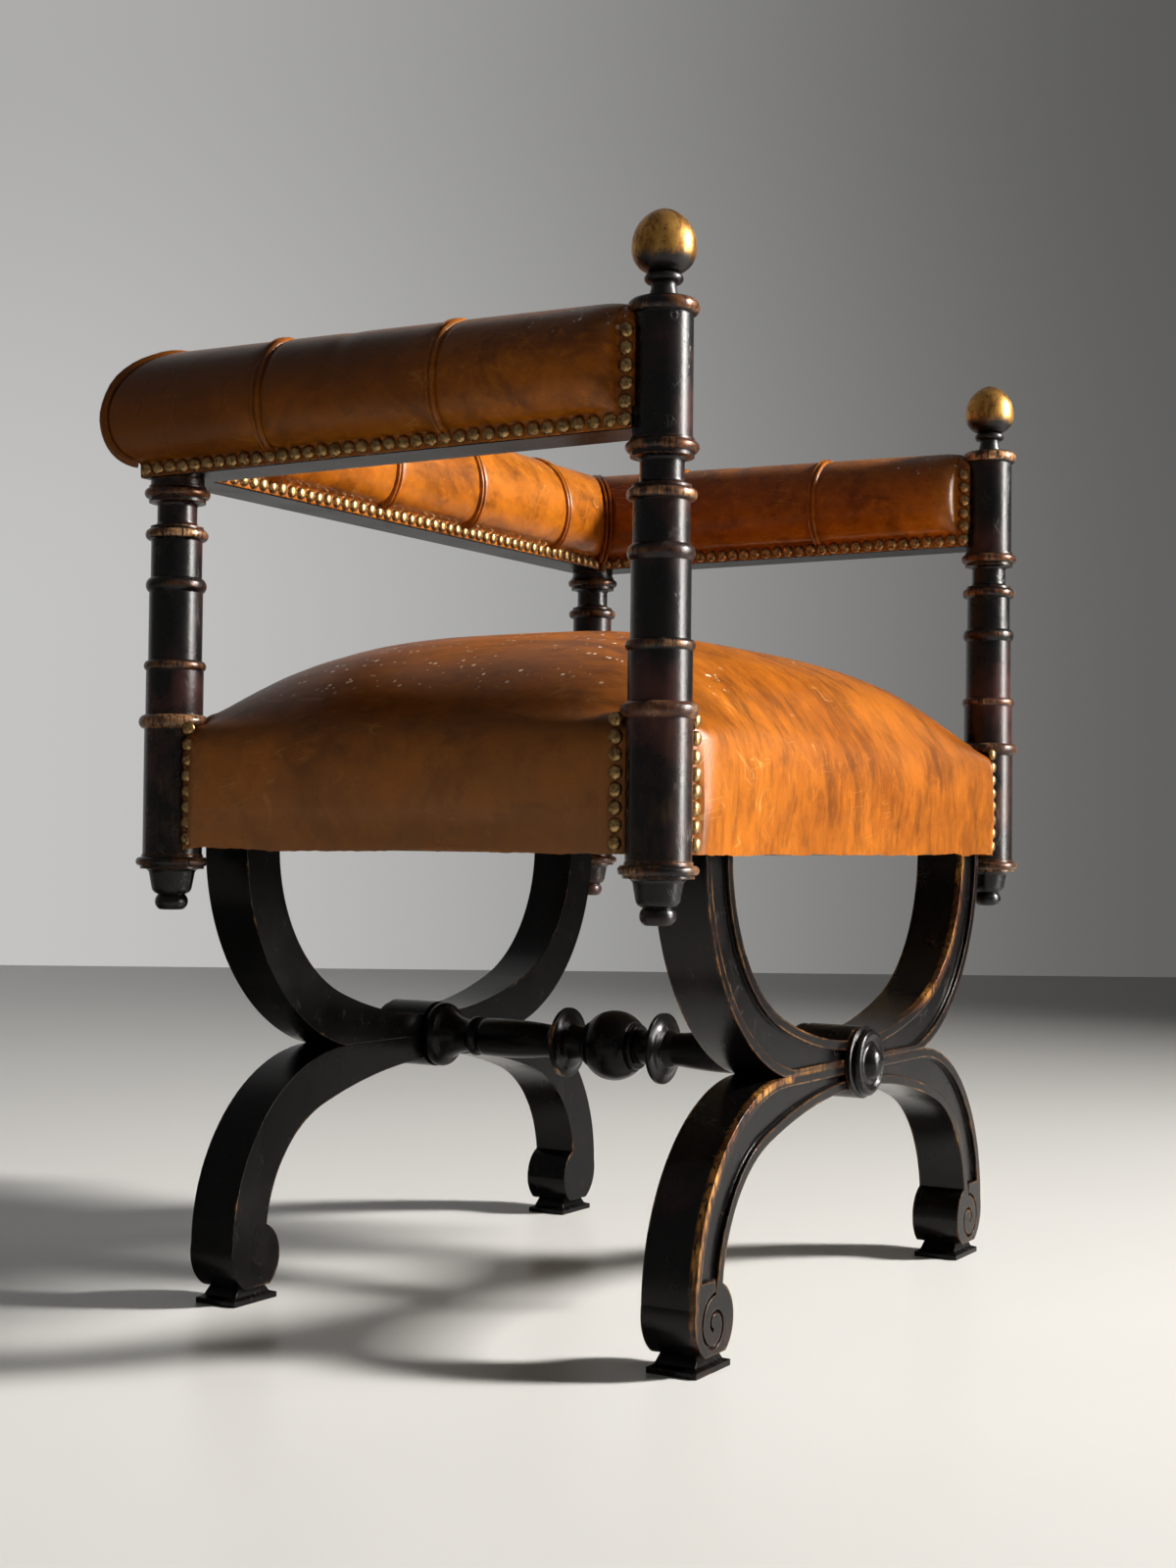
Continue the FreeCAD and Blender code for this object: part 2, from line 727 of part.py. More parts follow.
def upper_outline(inset, top, foot_height):
    """The U with its edges moved in by inset, from foot_height up to top."""
    a = arm_centre_x
    inner = S["arm_inner_radius"] + inset
    outer = arm_outer_radius - inset
    wide = basket(a, S["arm_inner_radius"], S["arm_dip"]) + inset
    rise = top - arm_centre_height
    touch_x, touch_z = tangent_point(a, arm_centre_height, S["arm_inner_radius"], S["arm_dip"], inset, -1)
    foot_x = a + leg_of(outer, arm_centre_height - foot_height)
    outer_x = a + leg_of(outer, rise)
    inner_x = a + leg_of(inner, rise)
    return [
        (foot_x, foot_height, outer, -1),
        (outer_x, top),
        (inner_x, top, inner, 1),
        (touch_x, touch_z, wide, 1),
        (-touch_x, touch_z, inner, 1),
        (-inner_x, top),
        (-outer_x, top, outer, -1),
        (-foot_x, foot_height),
    ]


def scroll_corners():
    """Right-hand scroll from the outer end of the leg round to the inner arch, with a flat foot."""
    flat = leg_of(S["scroll_radius"], scroll_level - S["foot_height"])
    return [
        (S["leg_centre_x"] + leg_outer_radius, leg_centre_level, S["scroll_sweep"], 1),
        (scroll_x + flat, S["foot_height"]),
        (scroll_x - flat, S["foot_height"], S["scroll_radius"], 1),
        (scroll_x - S["scroll_radius"], scroll_level, S["scroll_radius"], 1),
    ]


def lower_outline():
    a = S["leg_centre_x"]
    inner = S["leg_inner_radius"]
    wide = basket(a, inner, S["leg_rise"])
    join_rise = S["scroll_radius"] * 0.47
    join_x = a + leg_of(inner, join_rise)
    join_z = leg_centre_level + join_rise
    touch_x, touch_z = tangent_point(a, leg_centre_level, inner, S["leg_rise"], ZERO, 1)
    right = scroll_corners()
    sweep, flat_out, flat_in, tip = right
    return [
        (a, waist_height, leg_outer_radius, 1),
        *right,
        (join_x, join_z, inner, -1),
        (touch_x, touch_z, wide, -1),
        (-touch_x, touch_z, inner, -1),
        (-join_x, join_z, S["scroll_radius"], 1),
        (-tip[0], tip[1], S["scroll_radius"], 1),
        (-flat_in[0], flat_in[1]),
        (-flat_out[0], flat_out[1], S["scroll_sweep"], 1),
        (-sweep[0], sweep[1], leg_outer_radius, 1),
        (-a, waist_height),
    ]


def lower_field():
    """Sunk field of the lower arch, between its edge beads, down to just above the scrolls."""
    a = S["leg_centre_x"]
    inner = S["leg_inner_radius"] + S["bead_width"]
    outer = leg_outer_radius - S["bead_width"]
    wide = basket(a, S["leg_inner_radius"], S["leg_rise"]) + S["bead_width"]
    rise = S["scroll_radius"] * 0.62
    level = leg_centre_level + rise
    inner_x = a + leg_of(inner, rise)
    outer_x = a + leg_of(outer, rise)
    top = leg_centre_level + outer
    touch_x, touch_z = tangent_point(
        a, leg_centre_level, S["leg_inner_radius"], S["leg_rise"], S["bead_width"], 1)
    return [
        (a, top, outer, 1),
        (outer_x, level),
        (inner_x, level, inner, -1),
        (touch_x, touch_z, wide, -1),
        (-touch_x, touch_z, inner, -1),
        (-inner_x, level),
        (-outer_x, level, outer, 1),
        (-a, top),
    ]


def volute(side):
    """Groove that leaves the sunk field and winds into a scroll in quarter arcs, each smaller by a step."""
    field = lower_field()
    entry_x, entry_z = field[2][0] * side, field[2][1] + S["volute_groove"]
    half = S["volute_groove"] / 2
    turns = [(0, 1), (side, 0), (0, -1), (-side, 0)]
    x, z, radius = scroll_x * side, scroll_level, S["volute_radius"]
    outer, inner = [], []
    for quarter in range(6):
        start, end = turns[quarter % 4], turns[(quarter + 1) % 4]
        wide, tight = radius + half, radius - half
        outer.append((x + wide * start[0], z + wide * start[1], wide, side))
        inner.append((x + tight * end[0], z + tight * end[1], tight, -side))
        tips = [(x + wide * end[0], z + wide * end[1]), (x + tight * start[0], z + tight * start[1])]
        if quarter == 0:
            way_in = tips[1]
        x, z, radius = x + S["volute_step"] * end[0], z + S["volute_step"] * end[1], radius - S["volute_step"]
    mouth = [(entry_x, entry_z), (entry_x + S["volute_groove"] * side * 2, entry_z)]
    return outer + [tips[0]] + inner[::-1] + [way_in] + mouth


def half_hub(sketch, up):
    """Half-round swelling at the waist, above the joint line (1) or below it (-1)."""
    r = S["hub_radius"]
    side = -1 if up > 0 else 1
    outline(sketch, [
        (r, waist_height, r, side),
        (ZERO, waist_height + r * up, r, side),
        (-r, waist_height),
    ])


def cross_board(name, corners, field, eyes, up):
    """Board of an X frame: outline, half hub, sunk field between edge beads and bore for the stretcher."""
    body = new_body(name)
    shape = new_sketch(body, "XZ_Plane", f"{name}_outline")
    outline(shape, corners)
    pad(body, shape, S["board_thickness"], f"{name}_board")
    hub = new_sketch(body, "XZ_Plane", f"{name}_hub_outline")
    half_hub(hub, up)
    pad(body, hub, S["board_thickness"], f"{name}_hub")
    sunk = new_sketch(body, "XZ_Plane", f"{name}_field_outline", S["board_thickness"])
    outline(sunk, field)
    pocket(body, sunk, S["field_depth"], f"{name}_field")
    if eyes:
        grooves = new_sketch(body, "XZ_Plane", f"{name}_scroll_outline", S["board_thickness"])
        for side in (-1, 1):
            outline(grooves, volute(side))
        pocket(body, grooves, S["field_depth"] * 0.6, f"{name}_scroll_grooves")
    boss_seat = new_sketch(body, "XZ_Plane", f"{name}_seat_outline", S["board_thickness"])
    circle(boss_seat, ZERO, waist_height, S["hub_bore"] + S["fit"])
    pocket(body, boss_seat, S["board_thickness"], f"{name}_bore")
    return body


def make_crosses():
    field_floor = arm_centre_height - arm_outer_radius + S["bead_width"] * 1.25
    over = S["bead_width"] / 7
    upper = upper_outline(ZERO, rail_bottom, waist_height)
    upper_field = upper_outline(S["bead_width"], rail_bottom + over, field_floor)
    peg = S["dowel_radius"] + S["fit"]
    peg_depth = S["dowel_length"] / 2 + S["fit"]
    for name, end, angle in (("front", -1, 0), ("back", 1, 180)):
        y = middle_y + (half_y - board_inner_offset) * end
        waist_y = y + S["board_thickness"] / 2 * end
        top_y = middle_y + half_y * end + arm_dowel_y * -end
        waist_holes = [rod(f"{name}_waist_hole_{half}_{side}", S["waist_dowel_x"] * side, waist_y,
                           waist_height - (peg_depth if half else ZERO), peg, peg_depth)
                       for half in (0, 1) for side in (-1, 1)]
        top_low = rail_bottom - peg_depth
        top_holes = [rod(f"{name}_top_hole_{side}", arm_end_x * side, top_y, top_low, peg, peg_depth)
                     for side in (-1, 1)]
        body = put(cross_board(f"{name}_u", upper, upper_field, False, 1), ZERO, y, ZERO, (0, 0, 1), angle)
        cut(f"{name}_upper_cross", body, waist_holes[:2] + top_holes)
        body = put(cross_board(f"{name}_arch", lower_outline(), lower_field(), True, -1), ZERO, y, ZERO,
                   (0, 0, 1), angle)
        cut(f"{name}_lower_cross", body, waist_holes[2:])


def make_feet():
    """Small flared plinths under the scrolls."""
    flat = leg_of(S["scroll_radius"], scroll_level - S["foot_height"])
    long = S["foot_length"] / 2
    deep = S["foot_depth"] / 2
    depth_y = half_y - board_inner_offset + S["board_thickness"] / 2
    for name, (side, end) in POST_SIDES.items():
        body = new_body(f"{name}_plinth")
        levels = [
            (ZERO, long, deep),
            (S["foot_base_height"], long, deep),
            (S["foot_base_height"] * 1.4, flat + S["foot_waist"] * 0.45, deep - S["foot_waist"] * 0.3),
            (S["foot_height"], flat, deep - S["foot_waist"] * 0.45),
        ]
        sketches = []
        for number, (level, along, across) in enumerate(levels):
            sketch = new_sketch(body, "XY_Plane", f"{name}_plinth_{number}", level)
            outline(sketch, [(along, across), (-along, across), (-along, -across), (along, -across)])
            sketches.append(sketch)
        loft = body.newObject("PartDesign::AdditiveLoft", f"{name}_plinth_loft")
        loft.Profile = sketches[0]
        loft.Sections = sketches[1:]
        loft.Ruled = True
        keep(put(body, scroll_x * side, middle_y + depth_y * end), f"{name}_foot")


def make_bosses():
    r = S["boss_radius"]
    high = S["boss_height"]
    rim = high * 0.2
    bead_low = (r * 0.9, high * 0.27)
    bead_high = (r * 0.74, high * 0.6)
    cove_end = (S["boss_cap_radius"] * 1.1, high * 0.55)
    cap_low = (S["boss_cap_radius"], high * 0.66)
    top = (S["boss_cap_radius"] / 8, high)
    corners = [
        (ZERO, -S["boss_spigot"]),
        (S["hub_bore"], -S["boss_spigot"]),
        (S["hub_bore"], ZERO),
        (r, ZERO),
        (r, rim),
        ring(bead_low, bead_high, high * 0.14),
        ring(bead_high, cove_end, high * 0.08, 1),
        cove_end,
        ring(cap_low, top, high * 0.1),
        top,
        (ZERO, high),
    ]
    for name, end in (("front", -1), ("back", 1)):
        face = middle_y + (half_y + S["board_outset"]) * end
        roundel = turned(f"{name}_roundel", corners)
        keep(put(roundel, ZERO, face, waist_height, (1, 0, 0), -90 * end), f"{name}_boss")


def make_stretcher():
    """Turned bar between the hubs: flanges, collars, thin discs and a flattened bun in the middle."""
    face = half_y - board_inner_offset
    end = face + S["stretcher_tenon"]
    flange = S["stretcher_flange_radius"]
    inner = face - S["stretcher_flange_width"]
    collar = inner - S["stretcher_collar_from_flange"]
    shaft = S["stretcher_shaft_radius"]
    slim = S["stretcher_slim_radius"]
    disc = S["stretcher_disc_offset"]
    disc_r = S["stretcher_disc_radius"]
    bun = S["stretcher_bun_half"]
    bun_edge = S["stretcher_bun_radius"] * 0.72
    bead_half = S["stretcher_bun_half"] / 8
    right = [
        (bun_edge, bun),
        (slim * 1.28, bun, bead_half * 1.15, -1),
        (slim * 1.28, bun + bead_half * 2),
        (slim, bun + bead_half * 2, disc, 1),
        (shaft, disc - bead_half * 2.6),
        (disc_r * 0.72, disc - bead_half * 1.9, disc_r * 0.5, 1),
        (disc_r, disc - bead_half * 0.6),
        (disc_r, disc + bead_half * 0.6, disc_r * 0.5, 1),
        (disc_r * 0.72, disc + bead_half * 1.9),
        (shaft, disc + bead_half * 2.6),
        (slim, disc + bead_half * 5.5),
        (slim * 1.02, disc + bead_half * 8, disc * 9, -1),
        (shaft, collar - bead_half * 4.5),
        (slim, collar - bead_half * 2.2),
        (slim * 1.05, collar - bead_half * 1.6, bead_half * 1.75, -1),
        (slim * 1.05, collar + bead_half * 1.6),
        (slim, collar + bead_half * 2.4, disc * 0.8, 1),
        (flange * 0.86, inner - bead_half),
        (flange, inner, S["stretcher_flange_width"] * 0.55, -1),
        (flange, face),
        (S["hub_bore"], face),
        (S["hub_bore"], end),
        (ZERO, end),
    ]
    left = []
    for index in range(len(right) - 1, -1, -1):
        corner = right[index]
        arc = right[index - 1] if index > 0 else ()
        point = (corner[0], -corner[1])
        left.append(point + tuple(arc[2:]) if len(arc) > 2 else point)
    bun_low = left.pop()
    bun_radius = bead(bun_low, (bun_edge, bun), S["stretcher_bun_radius"] - bun_edge)
    corners = left + [(bun_low[0], bun_low[1], bun_radius, -1)] + right
    body = turned("stretcher_bar", corners)
    keep(put(body, ZERO, middle_y, waist_height, (1, 0, 0), -90), "stretcher")


def make_dowels():
    """Wooden pegs: waist of the X frames, X frames to seat rails, roll rails to posts."""
    length = S["dowel_length"].value
    up = FreeCAD.Vector(0, 0, 1)
    along = FreeCAD.Vector(0, 1, 0)
    waist_pegs = []
    seat_pegs = []
    roll_pegs = []

    def peg(x, y, z, direction):
        """Peg whose middle is at (x, y, z)."""
        start = FreeCAD.Vector(x.value, y.value, z.value) - direction * (length / 2)
        return Part.makeCylinder(S["dowel_radius"].value, length, start, direction)

    rail_level = roll_bottom + S["roll_rail_thickness"] / 2
    board_y = half_y - board_inner_offset + S["board_thickness"] / 2
    for side in (-1, 1):
        for end in (-1, 1):
            waist_pegs.append(peg(S["waist_dowel_x"] * side, middle_y + board_y * end, waist_height, up))
            seat_y = middle_y + (half_y - arm_dowel_y) * end
            seat_pegs.append(peg(arm_end_x * side, seat_y, rail_bottom, up))
        roll_pegs.append(peg(half_x * side, front_y + S["post_top_radius"], rail_level, along))
        roll_pegs.append(peg(half_x * side, back_y, roll_bottom, up))
    group("cross_waist_dowels", waist_pegs)
    group("cross_seat_dowels", seat_pegs)
    group("roll_rail_dowels", roll_pegs)


# Webbing, springs, stuffing and leather of the seat


def make_webbing():
    """Strips tacked under the seat rails, in two layers that cross."""
    thick = S["webbing_thickness"].value
    width = S["webbing_width"].value
    top = rail_bottom.value
    middle = middle_y.value
    long_x = (S["post_span_x"] - S["seat_rail_outset"]).value
    long_y = (S["post_span_y"] - S["seat_rail_outset"]).value
    lengthwise = []
    for row in (-1, 0, 1):
        edge = middle + row * S["webbing_pitch_y"].value - width / 2
        lengthwise.append(Part.makeBox(long_x, width, thick, FreeCAD.Vector(-long_x / 2, edge, top - thick)))
    crosswise = []
    for row in (-2, -1, 0, 1, 2):
        edge = row * S["webbing_pitch_x"].value - width / 2
        corner = FreeCAD.Vector(edge, middle - long_y / 2, top - thick * 2)
        crosswise.append(Part.makeBox(width, long_y, thick, corner))
    group("webbing_lengthwise", lengthwise)
    group("webbing_crosswise", crosswise)


def arc_between(start, end, tangent):
    """Arc that leaves start along a direction and ends at a point."""
    chord = end - start
    angle = tangent.getAngle(chord)
    unit = FreeCAD.Vector(chord).normalize()
    sideways = (tangent - unit * tangent.dot(unit)).normalize()
    middle = (start + end) * 0.5 + sideways * (chord.Length / 2 * math.tan(angle / 2))
    return Part.Arc(start, middle, end).toShape()


def spring_shape():
    """Waisted coil spring, a wire of four turns joined from pairs of smooth arcs."""
    turns = 4
    wire = S["spring_wire"].value / 2
    bottom = rail_bottom.value + wire
    height = S["seat_rail_height"].value - wire * 2
    wide = S["spring_radius"].value
    waist = S["spring_waist_radius"].value

    def point(share):
        radius = waist + (wide - waist) * (2 * share - 1) ** 2
        angle = 2 * math.pi * turns * share
        return FreeCAD.Vector(radius * math.cos(angle), radius * math.sin(angle), bottom + height * share)

    def direction(share):
        step = 1e-4
        return (point(share + step) - point(share - step)).normalize()

    edges = []
    steps = turns * 4
    for step in range(steps):
        start, end = point(step / steps), point((step + 1) / steps)
        leave, arrive = direction(step / steps), direction((step + 1) / steps)
        span = end - start
        both = leave + arrive
        bend = 2 * (1 - leave.dot(arrive))
        reach = (-span.dot(both) + math.sqrt(span.dot(both) ** 2 + bend * span.dot(span))) / bend
        middle = (start + end + (leave - arrive) * reach) * 0.5
        edges.append(arc_between(start, middle, leave))
        edges.append(arc_between(end, middle, -arrive))
    path = Part.Wire(Part.__sortEdges__(edges))
    section = Part.Wire(Part.makeCircle(wire, point(0), direction(0)))
    return path.makePipeShell([section], True, False)


def make_springs():
    spring = spring_shape()
    springs = []
    for column in (-1, 0, 1):
        for row in (-1, 1):
            copy = spring.copy()
            copy.translate(FreeCAD.Vector(column * S["spring_pitch_x"].value,
                                          middle_y.value + row * S["webbing_pitch_y"].value, 0))
            springs.append(copy)
    group("seat_springs", springs)


def rounded_rectangle(half_length, half_width, radius, height):
    """Wire of four straight sides and four quarter arcs round the middle of the posts."""
    lean = radius * (1 - math.sqrt(0.5))
    edges = []
    corners = [(1, 1), (-1, 1), (-1, -1), (1, -1)]

    def at(u, v):
        return FreeCAD.Vector(u, middle_y.value + v, height)

    for number, (sx, sy) in enumerate(corners):
        nx, ny = corners[(number + 1) % 4]
        flat = at(sx * half_length, sy * (half_width - radius))
        level = at(sx * (half_length - radius), sy * half_width)
        middle = at(sx * (half_length - lean), sy * (half_width - lean))
        start, end = (flat, level) if number % 2 == 0 else (level, flat)
        edges.append(Part.Arc(start, middle, end).toShape())
        follow_flat = at(nx * half_length, ny * (half_width - radius))
        follow_level = at(nx * (half_length - radius), ny * half_width)
        edges.append(Part.makeLine(end, follow_level if number % 2 == 0 else follow_flat))
    return Part.Wire(edges)


def crown_shape(inset, bottom):
    """Domed pad: flat below, steep rounded sides and a nearly level crown, moved in by inset."""
    half_length = (half_x + skirt_outset).value - inset
    half_width = (half_y + skirt_outset).value - inset
    edge = seat_edge.value
    crown = S["seat_crown"].value - inset
    wires = [rounded_rectangle(half_length, half_width, half_width * 0.06, bottom)]
    for share in (0.02, 0.25, 0.5, 0.72, 0.88, 0.97):
        along = (1 - share ** 1.12) ** 0.235
        across = (1 - share ** 1.12) ** 0.252
        radius = half_width * across * (0.06 + 0.86 * share ** 0.8)
        level = edge + crown * share
        wires.append(rounded_rectangle(half_length * along, half_width * across, radius, level))
    return Part.makeLoft(wires, True, False)


def post_columns(low, high):
    """Room for the posts where the seat's cloth and leather pass them."""
    columns = []
    ring_low = (ring_levels["seat"] - S["seat_ring_half"] - S["fit"]).value
    plain = (S["post_radius"] + S["fit"]).value
    ringed = (S["post_radius"] + S["seat_ring_rise"] + S["fit"]).value
    for sx, sy in POST_SIDES.values():
        x = half_x.value * sx
        y = middle_y.value + half_y.value * sy
        columns.append(Part.makeCylinder(plain, high - low, FreeCAD.Vector(x, y, low)))
        columns.append(Part.makeCylinder(ringed, high - ring_low, FreeCAD.Vector(x, y, ring_low)))
    return columns


def make_seat():
    low = skirt_bottom.value
    edge = seat_edge.value
    high = edge + S["seat_crown"].value + S["post_radius"].value
    leather = S["seat_leather"].value
    columns = post_columns(low, high)
    outer_x = (half_x + skirt_outset).value
    outer_y = (half_y + skirt_outset).value

    def block(inset, bottom, top):
        corner = FreeCAD.Vector(inset - outer_x, middle_y.value + inset - outer_y, bottom)
        return Part.makeBox(2 * (outer_x - inset), 2 * (outer_y - inset), top - bottom, corner)

    hessian = block(leather, seat_rail_top.value, hessian_top.value).cut(columns)
    stuffing = crown_shape(leather, hessian_top.value).cut(columns)
    outside = block(0, low, edge - leather).fuse(crown_shape(0, edge - leather))
    inside = block(leather, low, hessian_top.value).fuse(crown_shape(leather, hessian_top.value))
    cover = outside.cut(inside).cut(columns)
    group("seat_hessian", hessian.Solids)
    group("seat_stuffing", stuffing.Solids)
    group("seat_cover", cover.Solids)


def nail_shape():
    """Domed nail head on its flat underside, which faces -Z at the origin."""
    r = S["nail_head_radius"].value
    rise = S["nail_head_rise"].value
    ball = (r * r + rise * rise) / (2 * rise)
    sphere = Part.makeSphere(ball, FreeCAD.Vector(0, 0, rise - ball))
    keep_box = Part.makeBox(4 * ball, 4 * ball, 2 * ball, FreeCAD.Vector(-2 * ball, -2 * ball, 0))
    return sphere.common(keep_box)


def nails_at(places):
    """Copies of the nail head, each at a point on the leather and facing along a direction."""
    nail = nail_shape()
    heads = []
    for point, facing in places:
        turn = FreeCAD.Rotation(FreeCAD.Vector(0, 0, 1), facing)
        copy = nail.copy()
        copy.Placement = FreeCAD.Placement(point, turn)
        heads.extend(copy.Solids)
    return heads


def make_seat_nails():
    """Upright rows of nails on the skirt, one on each side of each post."""
    x = half_x.value
    y = half_y.value
    outset = skirt_outset.value
    aside = (leg_of(S["post_radius"] + S["fit"], skirt_outset) + S["seat_nail_from_post"]).value
    lowest = (skirt_bottom + S["seat_nail_bottom"]).value
    room = (ring_levels["seat"] - S["seat_ring_half"]).value - lowest
    rows = int(room / nail_pitch.value) + 1
    places = []
    for sx, sy in POST_SIDES.values():
        for row in range(rows):
            level = lowest + row * nail_pitch.value
            front = FreeCAD.Vector(sx * (x - aside), middle_y.value + sy * (y + outset), level)
            places.append((front, FreeCAD.Vector(0, sy, 0)))
            flank = FreeCAD.Vector(sx * (x + outset), middle_y.value + sy * (y - aside), level)
            places.append((flank, FreeCAD.Vector(sx, 0, 0)))
    group("seat_nails", nails_at(places))


# Padded roll: base rails, stuffing, leather, welts and nails


def taken(name, base, tool):
    result = doc.addObject("Part::Cut", name)
    result.Base = base
    result.Tool = tool
    return result


def make_roll_rails():
    """Flat rails under the leather: arms scribed to the front posts, mitred to the back rail."""
    low = roll_bottom
    half = S["roll_rail_half"]
    thick = S["roll_rail_thickness"]
    gap = S["post_top_radius"] + S["fit"]
    peg = S["dowel_radius"] + S["fit"]
    peg_depth = S["dowel_length"] / 2 + S["fit"]
    reach = S["roll_half"] * 2
    for name, side, angle in (("left", -1, 45), ("right", 1, 135)):
        x = half_x * side
        plank = box(f"{name}_arm_plank", x - half, front_y, low, half * 2, S["post_span_y"] + half, thick)
        post = rod(f"{name}_arm_scribe", x, front_y, low, gap, thick)
        corner = wedge(f"{name}_arm_mitre", x, back_y, angle, reach)
        plank = taken(f"{name}_arm_mitred", taken(f"{name}_arm_scribed", plank, post), corner)
        front_peg = rod(f"{name}_arm_peg", x, front_y, low + thick / 2, peg,
                        S["post_top_radius"] + peg_depth, (1, 0, 0), -90)
        cut(f"{name}_arm_rail", plank, [front_peg, rod(f"{name}_corner_peg", x, back_y, low, peg, peg_depth)])
    rail_length = S["post_span_x"] + half * 2
    plank = box("back_rail_plank", -half_x - half, back_y - half, low, rail_length, half * 2, thick)
    for name, side, angle in (("left", -1, 225), ("right", 1, 315)):
        corner = wedge(f"back_rail_{name}_mitre", half_x * side, back_y, angle, reach)
        plank = taken(f"back_rail_{name}_end", plank, corner)
    holes = [rod(f"back_rail_peg_{side}", half_x * side, back_y, low, peg, peg_depth) for side in (-1, 1)]
    cut("back_rail", plank, holes)


def bulge_arc(start, end, rise):
    """Arc from start to end in an upright plane, bulging away from the roll's axis by rise."""
    chord = end - start
    outward = FreeCAD.Vector(chord.z, 0, -chord.x).normalize()
    return Part.Arc(start, (start + end) * 0.5 + outward * rise, end).toShape()


def roll_corners(swell, inset):
    """Right-hand points of the roll's section: tuck, widest point and shoulder, at a swell from 0 to 1."""
    base = roll_base_half.value - inset
    half = base + (S["roll_half"].value - roll_base_half.value) * swell
    top = roll_end_top.value + (roll_top.value - roll_end_top.value) * swell - inset
    tuck = roll_rail_top.value if inset > 0 else roll_tuck.value
    wide = roll_wide.value
    shoulder = wide + (top - wide) * (0.86 - 0.14 * swell)
    return [(base, tuck), (half, wide), (half * (0.98 - 0.34 * swell), shoulder), (0.0, top)]


def roll_arcs(swell, inset, along, grow=0.0):
    """Edges of the section from the right-hand tuck over the top to the left-hand one."""
    (base, tuck), (half, wide), (shoulder, height), (_, top) = roll_corners(swell, inset)
    half += grow
    shoulder += grow * 0.7
    height += grow * 0.7
    top += grow

    def at(u, v):
        return FreeCAD.Vector(u, along, v)

    low_rise = 0.02 + S["roll_low_bulge"].value * swell
    side_rise = 0.02 + S["roll_side_bulge"].value * swell
    return [
        bulge_arc(at(base, tuck), at(half, wide), low_rise),
        bulge_arc(at(half, wide), at(shoulder, height), side_rise),
        Part.Arc(at(shoulder, height), at(0, top), at(-shoulder, height)).toShape(),
        bulge_arc(at(-shoulder, height), at(-half, wide), side_rise),
        bulge_arc(at(-half, wide), at(-base, tuck), low_rise),
    ]


def roll_section(swell, inset, along):
    """Closed section of the roll, or of its stuffing where inset is the leather's thickness."""
    edges = roll_arcs(swell, inset, along)
    base, tuck = roll_corners(swell, inset)[0]
    low = roll_bottom.value
    right = FreeCAD.Vector(base, along, tuck)
    left = FreeCAD.Vector(-base, along, tuck)
    if inset > 0:
        edges.append(Part.makeLine(left, right))
    else:
        right_low = FreeCAD.Vector(base, along, low)
        left_low = FreeCAD.Vector(-base, along, low)
        corners = [left, left_low, right_low, right]
        edges += [Part.makeLine(first, second) for first, second in zip(corners, corners[1:])]
    return Part.Wire(edges)


def roll_solid(inset, start, end, drawn_in):
    """Roll along Y from start to end; a drawn-in start is nailed flat and swells over its first stretch."""
    stations = [(start, 1.0), (end, 1.0)]
    if drawn_in:
        flat = start + S["roll_end_flat"].value
        swell = S["roll_end_swell"].value
        stations = [(start, 0.0), (flat, 0.0), (flat + swell * 0.18, 0.5), (flat + swell * 0.5, 0.86),
                    (flat + swell, 1.0), (end, 1.0)]
    return Part.makeLoft([roll_section(share, inset, along) for along, share in stations], True, True)


def half_space(x, y, angle):
    """Large upright block beyond a plane through (x, y), seen along an angle."""
    reach = S["roll_half"].value * 3
    corner = FreeCAD.Vector(0, -reach, roll_bottom.value - reach / 2)
    block = Part.makeBox(reach, 2 * reach, reach * 2, corner)
    block.Placement = FreeCAD.Placement(
        FreeCAD.Vector(x, y, 0), FreeCAD.Rotation(FreeCAD.Vector(0, 0, 1), angle))
    return block


def front_column(x):
    """Room for a front post and its top collar beside the roll's end."""
    low = roll_bottom.value - S["roll_half"].value
    collar = (top_collar_level - S["top_collar_half"] - S["fit"]).value
    plain = (S["post_top_radius"] + S["fit"]).value
    ringed = (S["post_top_radius"] + S["top_collar_rise"] + S["fit"]).value
    foot = FreeCAD.Vector(x, front_y.value, low)
    return [Part.makeCylinder(plain, S["roll_half"].value * 4, foot),
            Part.makeCylinder(ringed, S["roll_half"].value, FreeCAD.Vector(x, front_y.value, collar))]


def rail_block(start, end):
    half = S["roll_rail_half"].value
    low = roll_bottom.value
    corner = FreeCAD.Vector(-half, start, low)
    return Part.makeBox(2 * half, end - start, S["roll_rail_thickness"].value, corner)


def make_rolls():
    leather = S["roll_leather"].value
    start = (front_y + S["roll_end_from_post"]).value
    end = (back_y + S["roll_half"]).value
    for name, side, angle in (("left_arm", -1, 45), ("right_arm", 1, 135)):
        x = half_x.value * side
        away = [half_space(x, back_y.value, angle)] + front_column(x)
        skin = roll_solid(0.0, start, end, True)
        fill = roll_solid(leather, start, end, True)
        inside = rail_block(start, end)
        for shape in (skin, fill, inside):
            shape.translate(FreeCAD.Vector(x, 0, 0))
        group(f"{name}_stuffing", fill.cut(away).Solids)
        group(f"{name}_cover", skin.cut([fill, inside]).cut(away).Solids)
    reach = (half_x + S["roll_half"]).value
    skin = roll_solid(0.0, -reach, reach, False)
    fill = roll_solid(leather, -reach, reach, False)
    inside = rail_block(-reach, reach)
    for shape in (skin, fill, inside):
        shape.Placement = FreeCAD.Placement(
            FreeCAD.Vector(0, back_y.value, 0), FreeCAD.Rotation(FreeCAD.Vector(0, 0, 1), -90))
    away = [half_space(-half_x.value, back_y.value, 225), half_space(half_x.value, back_y.value, 315)]
    group("back_stuffing", fill.cut(away).Solids)
    group("back_cover", skin.cut([fill, inside]).cut(away).Solids)


